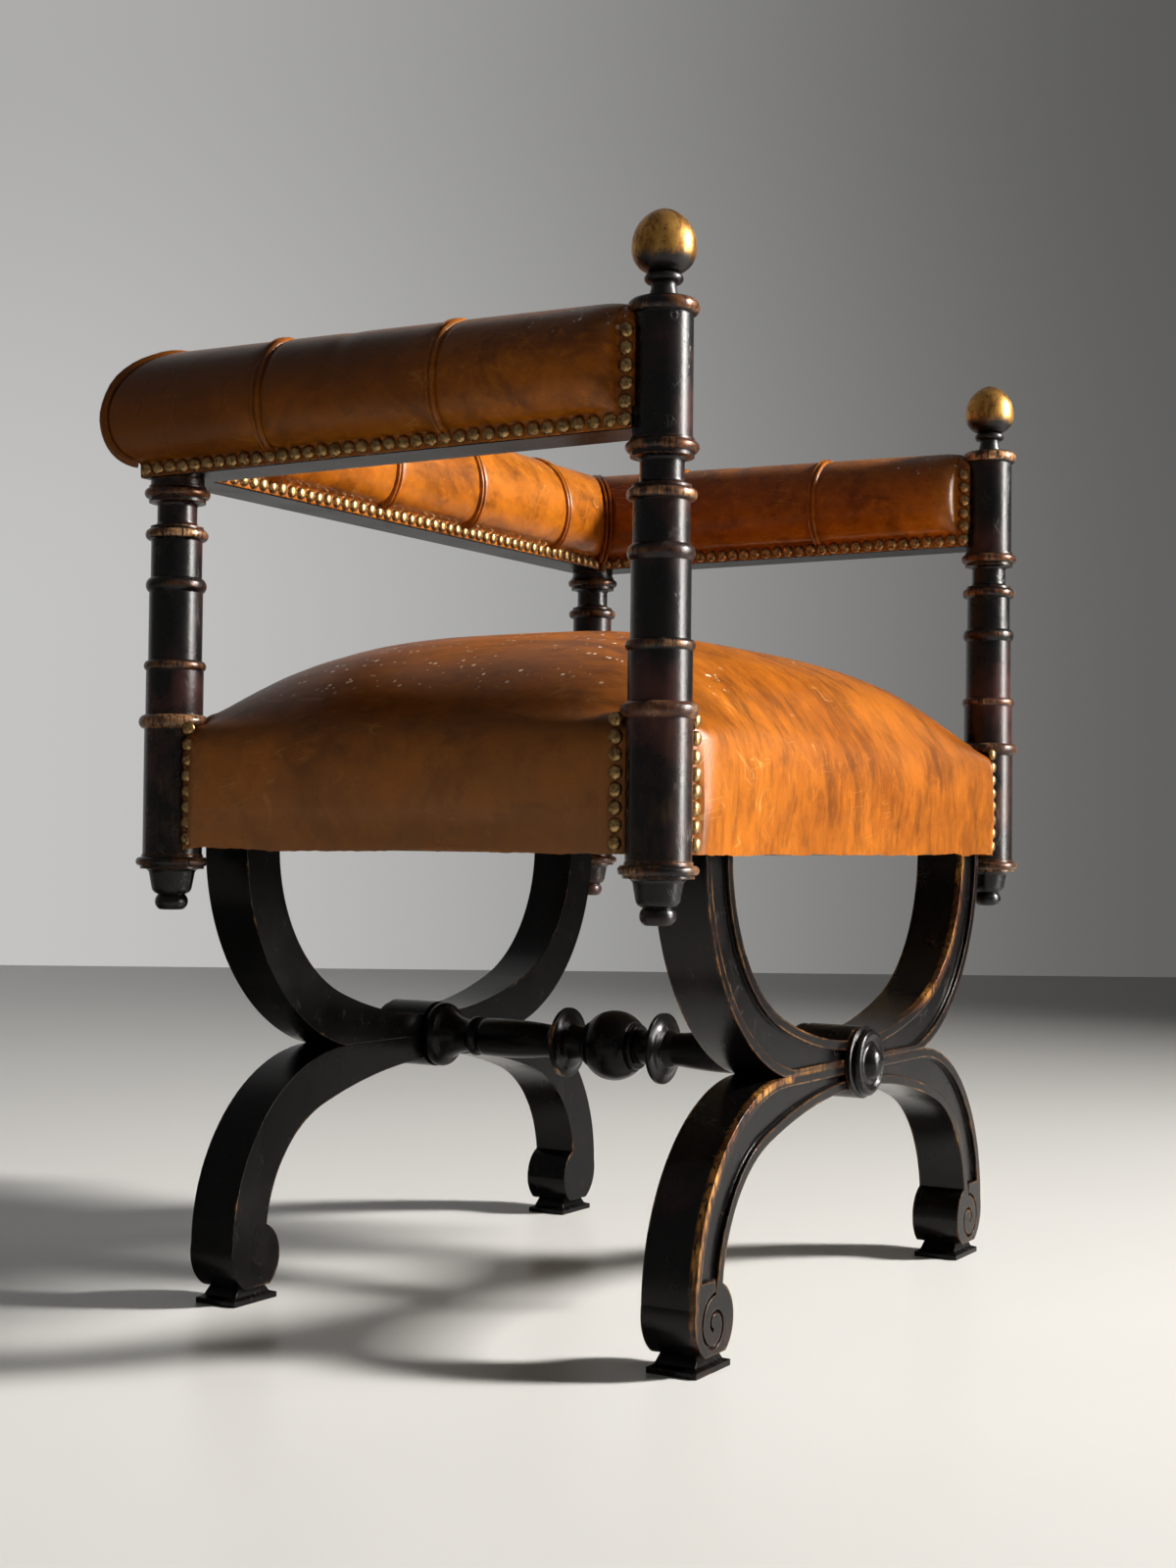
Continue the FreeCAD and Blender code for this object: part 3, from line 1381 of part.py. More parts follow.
def welt_shape(along):
    """Raised piped seam that wraps the roll from tuck to tuck."""
    outer = roll_arcs(1.0, 0.0, along, S["welt_rise"].value)
    inner = roll_arcs(1.0, 0.0, along, S["fit"].value)
    face = Part.Face(Part.Wire(Part.__sortEdges__(outer + inner)))
    return face.extrude(FreeCAD.Vector(0, S["welt_width"].value, 0))


def make_welts():
    offset = S["welt_width"] / 2
    arm_seams = [front_y + S[f"arm_seam_{number}"] for number in (1, 2)]
    back_seams = [S[f"back_seam_{number}"] - half_x for number in (1, 2, 3, 4)]
    for name, side in (("left_arm", -1), ("right_arm", 1)):
        welts = [welt_shape((seam - offset).value) for seam in arm_seams]
        for welt in welts:
            welt.translate(FreeCAD.Vector(half_x.value * side, 0, 0))
        group(f"{name}_piping", welts)
    welts = [welt_shape((seam - offset).value) for seam in back_seams]
    for welt in welts:
        welt.Placement = FreeCAD.Placement(
            FreeCAD.Vector(0, back_y.value, 0), FreeCAD.Rotation(FreeCAD.Vector(0, 0, 1), -90))
    group("back_piping", welts)


def spaced(first, last):
    """Evenly spaced places from first to last, as near the nail pitch as they divide."""
    count = max(round((last - first) / nail_pitch.value), 1)
    return [first + (last - first) * step / count for step in range(count + 1)]


def make_roll_nails():
    """Close rows along the foot of the leather, outside and inside, and upright rows at the front posts."""
    base = roll_base_half.value
    level = roll_nail_level.value
    clear = S["nail_head_radius"].value + S["nail_head_rise"].value
    start = (front_y + S["roll_end_from_post"]).value + S["roll_end_flat"].value / 2
    shoulder = roll_corners(0.0, 0.0)[2][1]
    uprights = int((shoulder - S["nail_head_radius"].value - level) / nail_pitch.value)
    for name, side in (("left_arm", -1), ("right_arm", 1)):
        x = half_x.value * side
        places = []
        for face, last in ((1, back_y.value + base - clear), (-1, back_y.value - base - clear)):
            facing = FreeCAD.Vector(side * face, 0, 0)
            for along in spaced(start, last):
                places.append((FreeCAD.Vector(x + side * face * base, along, level), facing))
            for row in range(1, uprights + 1):
                up = level + row * nail_pitch.value
                places.append((FreeCAD.Vector(x + side * face * base, start, up), facing))
        group(f"{name}_nails", nails_at(places))
    places = []
    for face, last in ((1, half_x.value + base - clear), (-1, half_x.value - base - clear)):
        for along in spaced(-last, last):
            point = FreeCAD.Vector(along, back_y.value + face * base, level)
            places.append((point, FreeCAD.Vector(0, face, 0)))
    group("back_nails", nails_at(places))


def check_and_write():
    doc.recompute()
    broken = [obj.Name for obj in doc.Objects if "Invalid" in obj.State or "Error" in obj.State]
    if broken:
        raise ValueError(f"failed objects: {broken}")
    for obj in nodes:
        if obj.Shape.isNull() or not obj.Shape.isValid() or not obj.Shape.Solids:
            raise ValueError(f"bad shape: {obj.Label}")
    os.makedirs("parts", exist_ok=True)
    for obj in nodes:
        obj.Shape.exportStep(f"parts/{obj.Label}.step")
        print(obj.Label, len(obj.Shape.Solids), round(obj.Shape.Volume / 1000, 2))


make_posts()
make_finials()
make_pendants()
make_seat_rails()
make_corner_blocks()
make_crosses()
make_feet()
make_bosses()
make_stretcher()
make_dowels()
make_webbing()
make_springs()
make_seat()
make_seat_nails()
make_roll_rails()
make_rolls()
make_welts()
make_roll_nails()
check_and_write()
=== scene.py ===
import math
import random

import bmesh
import bpy
import numpy as np
from mathutils import Matrix, Vector, noise


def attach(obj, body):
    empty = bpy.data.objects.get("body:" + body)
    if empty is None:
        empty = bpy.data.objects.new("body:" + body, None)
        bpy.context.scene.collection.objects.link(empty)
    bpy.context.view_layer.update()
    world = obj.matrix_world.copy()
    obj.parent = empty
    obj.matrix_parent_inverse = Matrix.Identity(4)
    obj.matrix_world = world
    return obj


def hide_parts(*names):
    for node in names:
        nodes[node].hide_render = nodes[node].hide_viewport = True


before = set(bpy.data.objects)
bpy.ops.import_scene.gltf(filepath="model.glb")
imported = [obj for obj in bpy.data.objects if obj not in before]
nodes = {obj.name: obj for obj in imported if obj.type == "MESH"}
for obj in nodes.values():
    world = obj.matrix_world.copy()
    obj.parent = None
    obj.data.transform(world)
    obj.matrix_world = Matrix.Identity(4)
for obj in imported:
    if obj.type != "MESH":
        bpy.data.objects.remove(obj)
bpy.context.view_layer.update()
random.seed(11)

X, Y, Z = 0, 1, 2

# Camera at the photograph's place, in metres and radians
CAMERA_PLACE = (-1.47765, -0.85289, 0.34776)
CAMERA_YAW = 1.03701
CAMERA_PITCH = 0.02606
CAMERA_ROLL = 0.01042
CAMERA_LENS = 48.66

# Plan of the posts
POST_X = 0.300
POST_Y = 0.202
POST_RADIUS = 0.0214
MIDDLE_Y = -0.00715
FRONT_Y = -0.20915
BACK_Y = 0.19485

# Crosses
CROSS_MIDDLE = 0.183
CROSS_FRONT = -0.21865
ARM_CENTRE = (0.089, 0.0, 0.341)
ARM_INNER = 0.125
LEG_CENTRE = (0.124, 0.0, 0.045)
LEG_OUTER = 0.138

# Seat: its block, its crown and the leather's forms
SEAT_HALF_X = 0.313
SEAT_HALF_Y = 0.215
SKIRT_BOTTOM = 0.337
SKIRT_SPARE = 0.004
SKIRT_CUT = 0.0012
SEAT_EDGE = 0.4176
SEAT_CROWN = 0.0850
CROWN_POWER_X = 4.25
CROWN_POWER_Y = 3.96
CROWN_ROUND = 0.89
SEAT_SHARES = (1.0, 0.995, 0.985, 0.97, 0.95, 0.92, 0.88, 0.82, 0.74, 0.62, 0.48, 0.32, 0.16)
POST_OVERLAP = 0.0015
BITE_STEPS = 14
OUTLINE_STEP = 0.008
SEAT_VOXEL = 0.005
SEAT_THICKNESS = 0.0022
SEAT_SWELL_CAP = 0.003
SEAT_PRESSURE = 3.0
NAIL_GAP = 0.0265
PUFF = 0.0060
PUFF_REACH = 0.015
PUCKER = 0.0014
PUCKER_HEIGHT = 0.436
PUCKER_RADIUS = 0.026
PUCKER_REACH = 0.016

# Padded roll: its section, its ends, its seams and its welts
ROLL_FACE = 0.020
ROLL_HALF = 0.0393
ROLL_POWER = 1.12
ROLL_TUCK = 0.6192
ROLL_WIDE = 0.651
ROLL_TOP_FRONT = 0.6925
ROLL_TOP_BACK = 0.7015
ROLL_END = 0.010
ROLL_END_FLAT = 0.012
ROLL_END_SWELL = 0.020
ROLL_END_TOP = 0.690
ROLL_END_ROUND = 0.017
ROLL_END_KNEE = 0.36
ROLL_SPACING = 0.0055
ROLL_SWELL_CAP = 0.0016
ROLL_PRESSURE = 5.0
POST_CLEAR = 0.0200
RAIL_HALF = 0.01795
RAIL_BOTTOM = 0.6077
RAIL_TOP = 0.6218
ARM_SEAMS = (0.154, 0.301)
BACK_SEAMS = (0.083, 0.224, 0.346, 0.490)
SEAM_DEPTH = 0.0020
SEAM_REACH = 0.0052
SEAM_HELD = 0.0008
NEAR_SEAM = 0.0045
BY_SEAM = 0.010
FAINT_CREASE = 0.238
FAINT_DEPTH = 0.0007
ARC_STEPS = 44
LOW_SHARE = 0.24
MITRE_LENGTH = 0.10
MITRE_LIFT = 1.5
WELT = ((-0.0042, -0.0012), (-0.0038, 0.0012), (-0.0030, 0.0029), (-0.0020, 0.0036), (-0.0011, 0.0030),
        (-0.0005, 0.0019), (0.0000, 0.0013), (0.0005, 0.0019), (0.0011, 0.0032), (0.0020, 0.0039),
        (0.0030, 0.0031), (0.0038, 0.0012), (0.0042, -0.0012))
STITCH_PITCH = 0.0046
STITCH_HALF = 0.34
STITCH_RADIUS = 0.0007
STITCH_RISE = 0.0024
STITCH_SHIFT = 0.0002
STITCH_TURNS = 6
STITCH_LEVELS = ((-1.0, 0.45), (-0.5, 1.0), (0.5, 1.0), (1.0, 0.45))

# Cloth that swells the covers
SIM_FRAMES = 18
CLOTH = {
    "quality": 6,
    "mass": 0.4,
    "tension_stiffness": 20,
    "compression_stiffness": 20,
    "shear_stiffness": 8,
    "bending_stiffness": 2.0,
    "use_pressure": True,
    "vertex_group_mass": "held",
}

# Nail heads, with levels as shares of the radius and the rise
NAIL_RADIUS = 0.0052
NAIL_RISE = 0.0034
NAIL_TILT = 0.07
NAIL_SHIFT = 0.00035
NAIL_DENT = 0.012
NAIL_TURNS = 18
NAIL_LEVELS = ((1.0, -0.25), (1.0, 0.06), (0.955, 0.24), (0.86, 0.50), (0.70, 0.75), (0.48, 0.91),
               (0.24, 0.98))

# Where the old gilding shows: ranges over which it comes or goes
CREST_START = (0.0211, 0.0225)
CREST_END = (0.0300, 0.0285)
UPPER_RINGS = (0.50, 0.60)
GILT_BAND = (0.0056, 0.0034)
GILT_DEPTH = (CROSS_FRONT + 0.0062, CROSS_FRONT + 0.0030)
LEG_FADE = (0.050, 0.115)
EGG_EDGE = (0.7205, 0.7290)
EGG_TIP = (0.7465, 0.7545)

# Stage
FLOOR_SIZE = 24
WALL_AWAY = 5.6
WALL_HALF = 9
WALL_BOTTOM = -0.01
WALL_TOP = 7


def add_camera():
    """Camera of the photograph; returns its level right and its forward direction."""
    forward = Vector((math.cos(CAMERA_PITCH) * math.sin(CAMERA_YAW),
                      math.cos(CAMERA_PITCH) * math.cos(CAMERA_YAW), math.sin(CAMERA_PITCH)))
    level = Vector((math.cos(CAMERA_YAW), -math.sin(CAMERA_YAW), 0))
    upright = level.cross(forward)
    right = level * math.cos(CAMERA_ROLL) + upright * math.sin(CAMERA_ROLL)
    up = upright * math.cos(CAMERA_ROLL) - level * math.sin(CAMERA_ROLL)
    data = bpy.data.cameras.new("camera")
    data.sensor_width = 36.0
    data.lens = CAMERA_LENS
    camera = bpy.data.objects.new("camera", data)
    matrix = Matrix((right, up, -forward)).transposed().to_4x4()
    matrix.translation = CAMERA_PLACE
    camera.matrix_world = matrix
    bpy.context.collection.objects.link(camera)
    bpy.context.scene.camera = camera
    return level, forward


# Short ways to write node materials


class Paint:
    """A material with a Principled shader, and the nodes that feed it."""

    def __init__(self, name, **sockets):
        self.material = bpy.data.materials.new(name)
        self.material.use_nodes = True
        self.nodes = self.material.node_tree.nodes
        self.links = self.material.node_tree.links
        self.shader = self.nodes["Principled BSDF"]
        self.place = self.nodes.new("ShaderNodeTexCoord").outputs["Object"]
        self.feed(**sockets)

    def feed(self, **sockets):
        """Set or link the shader's sockets; an underscore stands for a space."""
        for name, value in sockets.items():
            self.fill(self.shader.inputs[name.replace("_", " ")], value)

    def fill(self, socket, value):
        if isinstance(value, bpy.types.NodeSocket):
            self.links.new(value, socket)
        elif value is not None:
            socket.default_value = value

    def add(self, kind, values=(), **settings):
        """Node with its settings; each value goes to the input of the same number."""
        node = self.nodes.new(f"ShaderNode{kind}")
        for name, setting in settings.items():
            setattr(node, name, setting)
        for number, value in enumerate(values):
            self.fill(node.inputs[number], value)
        return node

    def add_named(self, kind, values, **settings):
        """Node with its settings; each value goes to the input of its name."""
        node = self.add(kind, **settings)
        for name, value in values.items():
            self.fill(node.inputs[name], value)
        return node

    def stretched(self, x, y, z, turn=0.0):
        """Place turned about a slanting axis and scaled by x, y and z."""
        place = self.place
        if turn:
            place = self.add("VectorRotate", (place, (0, 0, 0), (0.45, 0.85, 0.30), turn)).outputs[0]
        return self.add("VectorMath", (place, (x, y, z)), operation="MULTIPLY").outputs[0]

    def part(self, axis):
        return self.add("SeparateXYZ", (self.place,)).outputs[axis]

    def noise(self, scale, detail=4.0, roughness=0.55, swirl=0.0, vector=None):
        values = {"Vector": vector or self.place, "Scale": scale, "Detail": detail,
                  "Roughness": roughness, "Distortion": swirl}
        return self.add_named("TexNoise", values).outputs[0]

    def streaks(self, stretch, detail=0.0, roughness=0.5, swirl=0.0):
        """Noise drawn out by the scales and the turn of stretch."""
        return self.noise(1.0, detail, roughness, swirl, self.stretched(*stretch))

    def cells(self, scale, feature="DISTANCE_TO_EDGE"):
        values = {"Vector": self.place, "Scale": scale}
        return self.add_named("TexVoronoi", values, feature=feature).outputs[0]

    def steps(self, value, low, high):
        """Smooth rise from 0 at low to 1 at high."""
        return self.add("MapRange", (value, low, high), interpolation_type="SMOOTHSTEP").outputs[0]

    def along(self, axis, low, high):
        """Smooth rise from 0 at low to 1 at high along an axis."""
        return self.steps(self.part(axis), low, high)

    def span(self, value, low, high):
        """A value of 0 to 1 as a value of low to high."""
        return self.add("MapRange", (value, 0.0, 1.0, low, high)).outputs[0]

    def plain(self, operation, first, second=None):
        return self.add("Math", (first, second), operation=operation).outputs[0]

    def calc(self, operation, first, second=None):
        """A result that is kept from 0 to 1."""
        return self.add("Math", (first, second), operation=operation, use_clamp=True).outputs[0]

    def times(self, first, *others):
        for other in others:
            first = self.calc("MULTIPLY", first, other)
        return first

    def most(self, first, *others):
        for other in others:
            first = self.calc("MAXIMUM", first, other)
        return first

    def without(self, value):
        """1 where a value is 0 and 0 where it is 1."""
        return self.calc("SUBTRACT", 1.0, value)

    def mix(self, factor, first, second):
        node = self.add("Mix", (factor,), data_type="RGBA")
        self.fill(node.inputs[6], first)
        self.fill(node.inputs[7], second)
        return node.outputs[2]

    def bump(self, height, strength, distance, normal=None):
        values = {"Height": height, "Strength": strength, "Distance": distance, "Normal": normal}
        return self.add_named("Bump", values).outputs[0]

    def rounded(self, radius):
        """Normal that rounds the arrises."""
        return self.add("Bevel", (radius,), samples=6).outputs[0]

    def line(self, value, width):
        """1 along the line where a value passes one half."""
        off = self.calc("ABSOLUTE", self.plain("SUBTRACT", value, 0.5))
        return self.steps(off, width, width * 0.3)

    def strands(self, stretch, width):
        """Thin lines that run the way the stretched noise does."""
        return self.line(self.streaks(stretch), width)

    def arrises(self, reach):
        """1 on outward edges and 0 on flats."""
        node = self.add_named("AmbientOcclusion", {"Distance": reach}, inside=True, only_local=True,
                              samples=8)
        return self.without(node.outputs["AO"])


def rgb(red, green, blue):
    return (red, green, blue, 1.0)


def shade(colour, share):
    return rgb(*[share * value for value in colour[:3]])


# Materials


BLACK = rgb(0.0022, 0.0019, 0.0020)
BLACK_GRAIN = rgb(0.0062, 0.0048, 0.0045)
WORN_BROWN = rgb(0.070, 0.023, 0.018)
SCUFF = rgb(0.085, 0.070, 0.060)
DULL_GOLD = rgb(0.17, 0.062, 0.022)
GOLD = rgb(0.80, 0.36, 0.085)
COPPER = rgb(0.66, 0.35, 0.16)
PALE_SCRATCH = rgb(0.76, 0.40, 0.12)
# dull tone of dust with a painted sheen
DUST_AND_SHEEN = rgb(0.27, 0.132, 0.060)
FLAKE = rgb(0.80, 0.66, 0.50)


def ebonised_wood(name, wear, brown, gold, worn=None, scratched=0.05, specular=0.26, rough=(0.13, 0.34)):
    """Black polished wood, rubbed through to brown, and to old gilding on arrises and where worn says."""
    paint = Paint(name, Specular_IOR_Level=specular)
    grain = paint.streaks((190.0, 190.0, 34.0), 6.0, 0.6, 0.3)
    black = paint.mix(paint.steps(grain, 0.42, 0.72), BLACK, BLACK_GRAIN)
    patchy = 0.62 - 0.22 * brown
    patches = paint.steps(paint.noise(12.0, 5.0, 0.62), patchy, patchy + 0.24)
    worn_brown = paint.mix(paint.times(patches, brown), black, WORN_BROWN)
    edge = paint.steps(paint.arrises(0.0032), 0.20, 0.46)
    if worn:
        edge = worn(paint, edge)
    rubbed = 0.66 - 0.36 * wear
    rub = paint.steps(paint.noise(22.0, 5.0, 0.66), rubbed, rubbed + 0.16)
    streak = paint.steps(paint.streaks((420.0, 420.0, 60.0), 4.0, 0.6), 0.34, 0.60)
    mask = paint.times(edge, rub, streak)
    copper = paint.mix(paint.steps(paint.noise(26.0, 3.0), 0.45, 0.66), DULL_GOLD, gold)
    colour = paint.mix(mask, worn_brown, copper)
    stretches = ((190.0, 190.0, 26.0), (210.0, 60.0, 34.0, 0.7), (210.0, 60.0, 34.0, -0.8))
    hairs = paint.most(*[paint.strands(stretch, 0.016) for stretch in stretches])
    scratch = paint.times(hairs, paint.steps(paint.noise(62.0, 2.0), 0.58, 0.68))
    colour = paint.mix(paint.times(scratch, scratched), colour, SCUFF)
    pitted = paint.noise(260.0, 3.0, 0.7)
    roughness = paint.span(paint.noise(24.0, 5.0, 0.65), *rough)
    fine = paint.bump(pitted, 0.10 + 0.6 * scratched, 0.0006, paint.rounded(0.0012))
    normal = paint.bump(scratch, 1.5 * scratched, 0.0003, fine)
    paint.feed(Base_Color=colour, Normal=normal, Metallic=paint.times(mask, 0.45),
               Roughness=paint.calc("ADD", roughness, paint.times(scratch, 0.15)))
    return paint.material


def ring_crests(paint, edge):
    """The turned rings of the posts where they stand out beyond the shaft, most of all the upper ones."""
    squares = []
    for axis, middle, post in ((X, 0.0, POST_X), (Y, MIDDLE_Y, POST_Y)):
        apart = paint.plain("ABSOLUTE", paint.plain("SUBTRACT", paint.part(axis), middle))
        gap = paint.plain("SUBTRACT", apart, post)
        squares.append(paint.plain("MULTIPLY", gap, gap))
    reach = paint.calc("SQRT", paint.plain("ADD", *squares))
    crest = paint.times(paint.steps(reach, *CREST_START), paint.steps(reach, *CREST_END))
    broken = paint.steps(paint.noise(46.0, 3.0, 0.6), 0.36, 0.54)
    high = paint.span(paint.along(Z, *UPPER_RINGS), 0.55, 1.0)
    return paint.most(paint.times(edge, 0.5), paint.times(crest, broken, high))


def rubbed_arms(paint, edge):
    """The front cross's arrises, with gilding inside its upper right arm and outside its lower left leg."""
    across, height = paint.part(X), paint.part(Z)
    apart = paint.calc("ABSOLUTE", across)
    flat = paint.add("CombineXYZ", (apart, 0.0, height)).outputs[0]
    upper = paint.steps(height, CROSS_MIDDLE - 0.002, CROSS_MIDDLE + 0.002)
    right = paint.steps(across, -0.004, 0.004)
    front = paint.along(Y, *GILT_DEPTH)
    outside = paint.steps(apart, LEG_CENTRE[X] - 0.012, LEG_CENTRE[X])
    fade = paint.span(paint.steps(height, *LEG_FADE), 0.30, 1.0)
    upper_right = (upper, right)
    lower_left = (paint.without(upper), paint.without(right), outside, fade)
    gilded = []
    for centre, radius, here in ((ARM_CENTRE, ARM_INNER, upper_right), (LEG_CENTRE, LEG_OUTER, lower_left)):
        reach = paint.add("VectorMath", (flat, centre), operation="DISTANCE").outputs[1]
        beyond = paint.calc("ABSOLUTE", paint.plain("SUBTRACT", reach, radius))
        gilded.append(paint.times(paint.steps(beyond, *GILT_BAND), front, *here))
    return paint.most(paint.times(edge, 0.36), *gilded)


def gilt_egg():
    """Old gilding over the upper part of the finials, black below with a ragged edge."""
    paint = Paint("gilt", Specular_IOR_Level=0.35)
    height = paint.part(Z)
    ragged = paint.times(paint.noise(75.0, 5.0, 0.7), 0.012)
    gilded = paint.steps(paint.calc("ADD", height, ragged), *EGG_EDGE)
    rubbed = paint.steps(paint.streaks((90.0, 90.0, 40.0), 6.0, 0.68, 0.4), 0.42, 0.64)
    gold = paint.mix(rubbed, rgb(0.56, 0.29, 0.066), rgb(0.22, 0.092, 0.022))
    flecks = paint.steps(paint.noise(330.0, 4.0, 0.7), 0.56, 0.66)
    gold = paint.mix(paint.times(flecks, 0.85), gold, rgb(0.075, 0.032, 0.012))
    tip = paint.steps(paint.calc("ADD", height, paint.times(ragged, 0.6)), *EGG_TIP)
    gold = paint.mix(paint.times(tip, 0.75), gold, rgb(0.11, 0.048, 0.016))
    copper = paint.steps(paint.noise(130.0, 4.0, 0.65), 0.48, 0.66)
    edge = paint.steps(paint.arrises(0.0026), 0.28, 0.60)
    low = paint.mix(paint.times(copper, edge), rgb(0.006, 0.0042, 0.0036), rgb(0.42, 0.20, 0.075))
    pits = paint.bump(paint.noise(330.0, 4.0, 0.65), 0.18, 0.0006)
    paint.feed(Base_Color=paint.mix(gilded, low, gold), Metallic=paint.times(gilded, 0.8), Normal=pits,
               Roughness=paint.span(paint.noise(70.0, 4.0, 0.6), 0.24, 0.46))
    return paint.material


def leather(name, deep, light, smear, flaked, outer, dust_and_painted_sheen=None, specular=0.28, rough=(0.20, 0.34)):
    """Tan hide: mottled and smeared, with pale scratches, fine grain and flaked spots where flaked says."""
    paint = Paint(name, Specular_IOR_Level=specular, Specular_Tint=rgb(1.0, 0.93, 0.84))
    clouds = paint.noise(6.5, 6.0, 0.62, 0.7)
    smears = paint.streaks(smear, 6.0, 0.64, 1.1)
    smudge = paint.noise(24.0, 5.0, 0.6, 0.9)
    fibres = paint.streaks([4.6 * value for value in smear], 4.0, 0.7, 0.3)
    dark, pale = shade(deep, 0.36), shade(light, 1.30)
    tan = paint.mix(paint.steps(clouds, 0.32, 0.68), deep, light)
    mottling = ((smears, 0.46, 0.68, 0.62, dark), (smudge, 0.50, 0.72, 0.55, dark),
                (fibres, 0.50, 0.68, 0.34, dark), (fibres, 0.48, 0.30, 0.40, pale))
    for marks, low, high, share, tone in mottling:
        tan = paint.mix(paint.times(paint.steps(marks, low, high), share), tan, tone)
    scratches = []
    for turn in (0.25, -0.6, 1.1, 2.0):
        strands = paint.strands((130.0, 13.0, 11.0, turn), 0.014)
        broken = paint.steps(paint.noise(30.0 + 4.0 * turn, 1.0), 0.57, 0.66)
        scratches.append(paint.times(strands, broken))
    worn = paint.steps(paint.noise(9.0, 2.0), 0.42, 0.62)
    tan = paint.mix(paint.times(paint.most(*scratches), worn, 0.38), tan, PALE_SCRATCH)
    # darker where the given mask says; on the seat this includes painted shade over the left shoulder
    tan = paint.mix(outer(paint), tan, shade(deep, 0.42))
    # duller where the given mask says: dust with a painted sheen on the seat's sides
    if dust_and_painted_sheen:
        tan = paint.mix(dust_and_painted_sheen(paint), tan, DUST_AND_SHEEN)
    spots = paint.steps(paint.cells(165.0, "F1"), 0.32, 0.20)
    chosen = paint.steps(paint.noise(95.0, 2.0), 0.565, 0.60)
    tan = paint.mix(paint.times(spots, chosen, flaked(paint)), tan, FLAKE)
    normal = paint.bump(paint.noise(48.0, 5.0, 0.6, 0.7), 0.12, 0.003)
    normal = paint.bump(paint.cells(720.0), 0.10, 0.0005, normal)
    normal = paint.bump(paint.noise(1500.0, 3.0, 0.6), 0.08, 0.0003, normal)
    paint.feed(Base_Color=tan, Normal=normal, Roughness=paint.span(clouds, *rough))
    return paint.material


def outside_of_rolls(paint):
    """The rolls' outward faces, darker towards the top and the back."""
    apart = paint.calc("ABSOLUTE", paint.part(X))
    out = paint.most(paint.steps(apart, POST_X, POST_X + 0.026),
                     paint.along(Y, BACK_Y - 0.004, BACK_Y + 0.024))
    high = paint.span(paint.along(Z, 0.628, 0.682), 0.58, 1.0)
    back = paint.span(paint.along(Y, -0.150, 0.020), 0.05, 1.0)
    far = paint.span(paint.along(Y, 0.00, 0.16), 0.0, 0.85)
    return paint.times(out, paint.most(paint.times(high, back), far))


def seat_sides(paint):
    """The seat's left and right sides."""
    return paint.steps(paint.calc("ABSOLUTE", paint.part(X)), SEAT_HALF_X - 0.016, SEAT_HALF_X - 0.002)


def seat_dark_and_shaded(paint):
    """Where the seat is darker: its sides near the front posts and its right part, and painted shade over
    its left shoulder.
    """
    near = paint.span(paint.along(Y, 0.06, -0.19), 0.05, 0.50)
    right = paint.span(paint.along(X, -0.05, 0.30), 0.0, 0.32)
    # painted shade over the left shoulder, which turns away from the key lamp
    shoulder = paint.times(paint.along(X, -0.17, -0.27), paint.along(Z, 0.415, 0.440), 0.55)
    return paint.most(paint.times(seat_sides(paint), near), shoulder, right)


def seat_dust_and_sheen(paint):
    """Where the seat is dull: its sides, more at the foot; dust there together with a painted sheen."""
    return paint.times(seat_sides(paint), paint.span(paint.along(Z, 0.420, 0.345), 0.30, 0.55))


def seat_flakes(paint):
    """The seat's left shoulder."""
    return paint.times(paint.along(X, -0.13, -0.19), paint.along(Z, 0.442, 0.462))


def arm_flakes(paint):
    """The arms' tops beside the front posts."""
    return paint.times(paint.along(Y, -0.10, -0.15), paint.along(Z, 0.664, 0.680))


def antique_brass():
    """Brass nail heads, bright brass with noisy patches of brown patina."""
    paint = Paint("antique_brass", Metallic=0.95)
    tint = paint.noise(90.0, 2.0, 0.5)
    patina = paint.steps(paint.noise(420.0, 4.0, 0.65), 0.40, 0.66)
    bright = paint.mix(paint.steps(tint, 0.35, 0.65), rgb(0.36, 0.215, 0.085), rgb(0.48, 0.30, 0.125))
    paint.feed(Base_Color=paint.mix(patina, bright, rgb(0.105, 0.064, 0.025)),
               Roughness=paint.span(patina, 0.28, 0.50),
               Normal=paint.bump(paint.noise(900.0, 3.0), 0.15, 0.0004))
    return paint.material


def bare_beech():
    paint = Paint("bare_beech", Specular_IOR_Level=0.3)
    grain = paint.streaks((16.0, 160.0, 160.0), 6.0, 0.65, 0.4)
    paint.feed(Base_Color=paint.mix(grain, rgb(0.30, 0.18, 0.09), rgb(0.52, 0.36, 0.21)),
               Roughness=paint.span(grain, 0.55, 0.8), Normal=paint.bump(grain, 0.2, 0.0005))
    return paint.material


def woven(name, dark, light, pitch):
    """Plain weave of two crossing sets of threads."""
    paint = Paint(name, Specular_IOR_Level=0.2)
    turns = math.tau / pitch
    threads = [paint.calc("SINE", paint.plain("MULTIPLY", paint.part(axis), turns)) for axis in (X, Y)]
    weave = paint.calc("ADD", *threads)
    colour = paint.mix(paint.times(weave, paint.noise(45.0, 4.0)), dark, light)
    paint.feed(Base_Color=colour, Roughness=0.9, Normal=paint.bump(weave, 0.5, pitch / 4))
    return paint.material


def spring_steel():
    paint = Paint("spring_steel", Metallic=0.9)
    rust = paint.steps(paint.noise(120.0, 4.0), 0.5, 0.7)
    paint.feed(Base_Color=paint.mix(rust, rgb(0.30, 0.29, 0.28), rgb(0.16, 0.075, 0.035)),
               Roughness=paint.span(rust, 0.3, 0.7))
    return paint.material


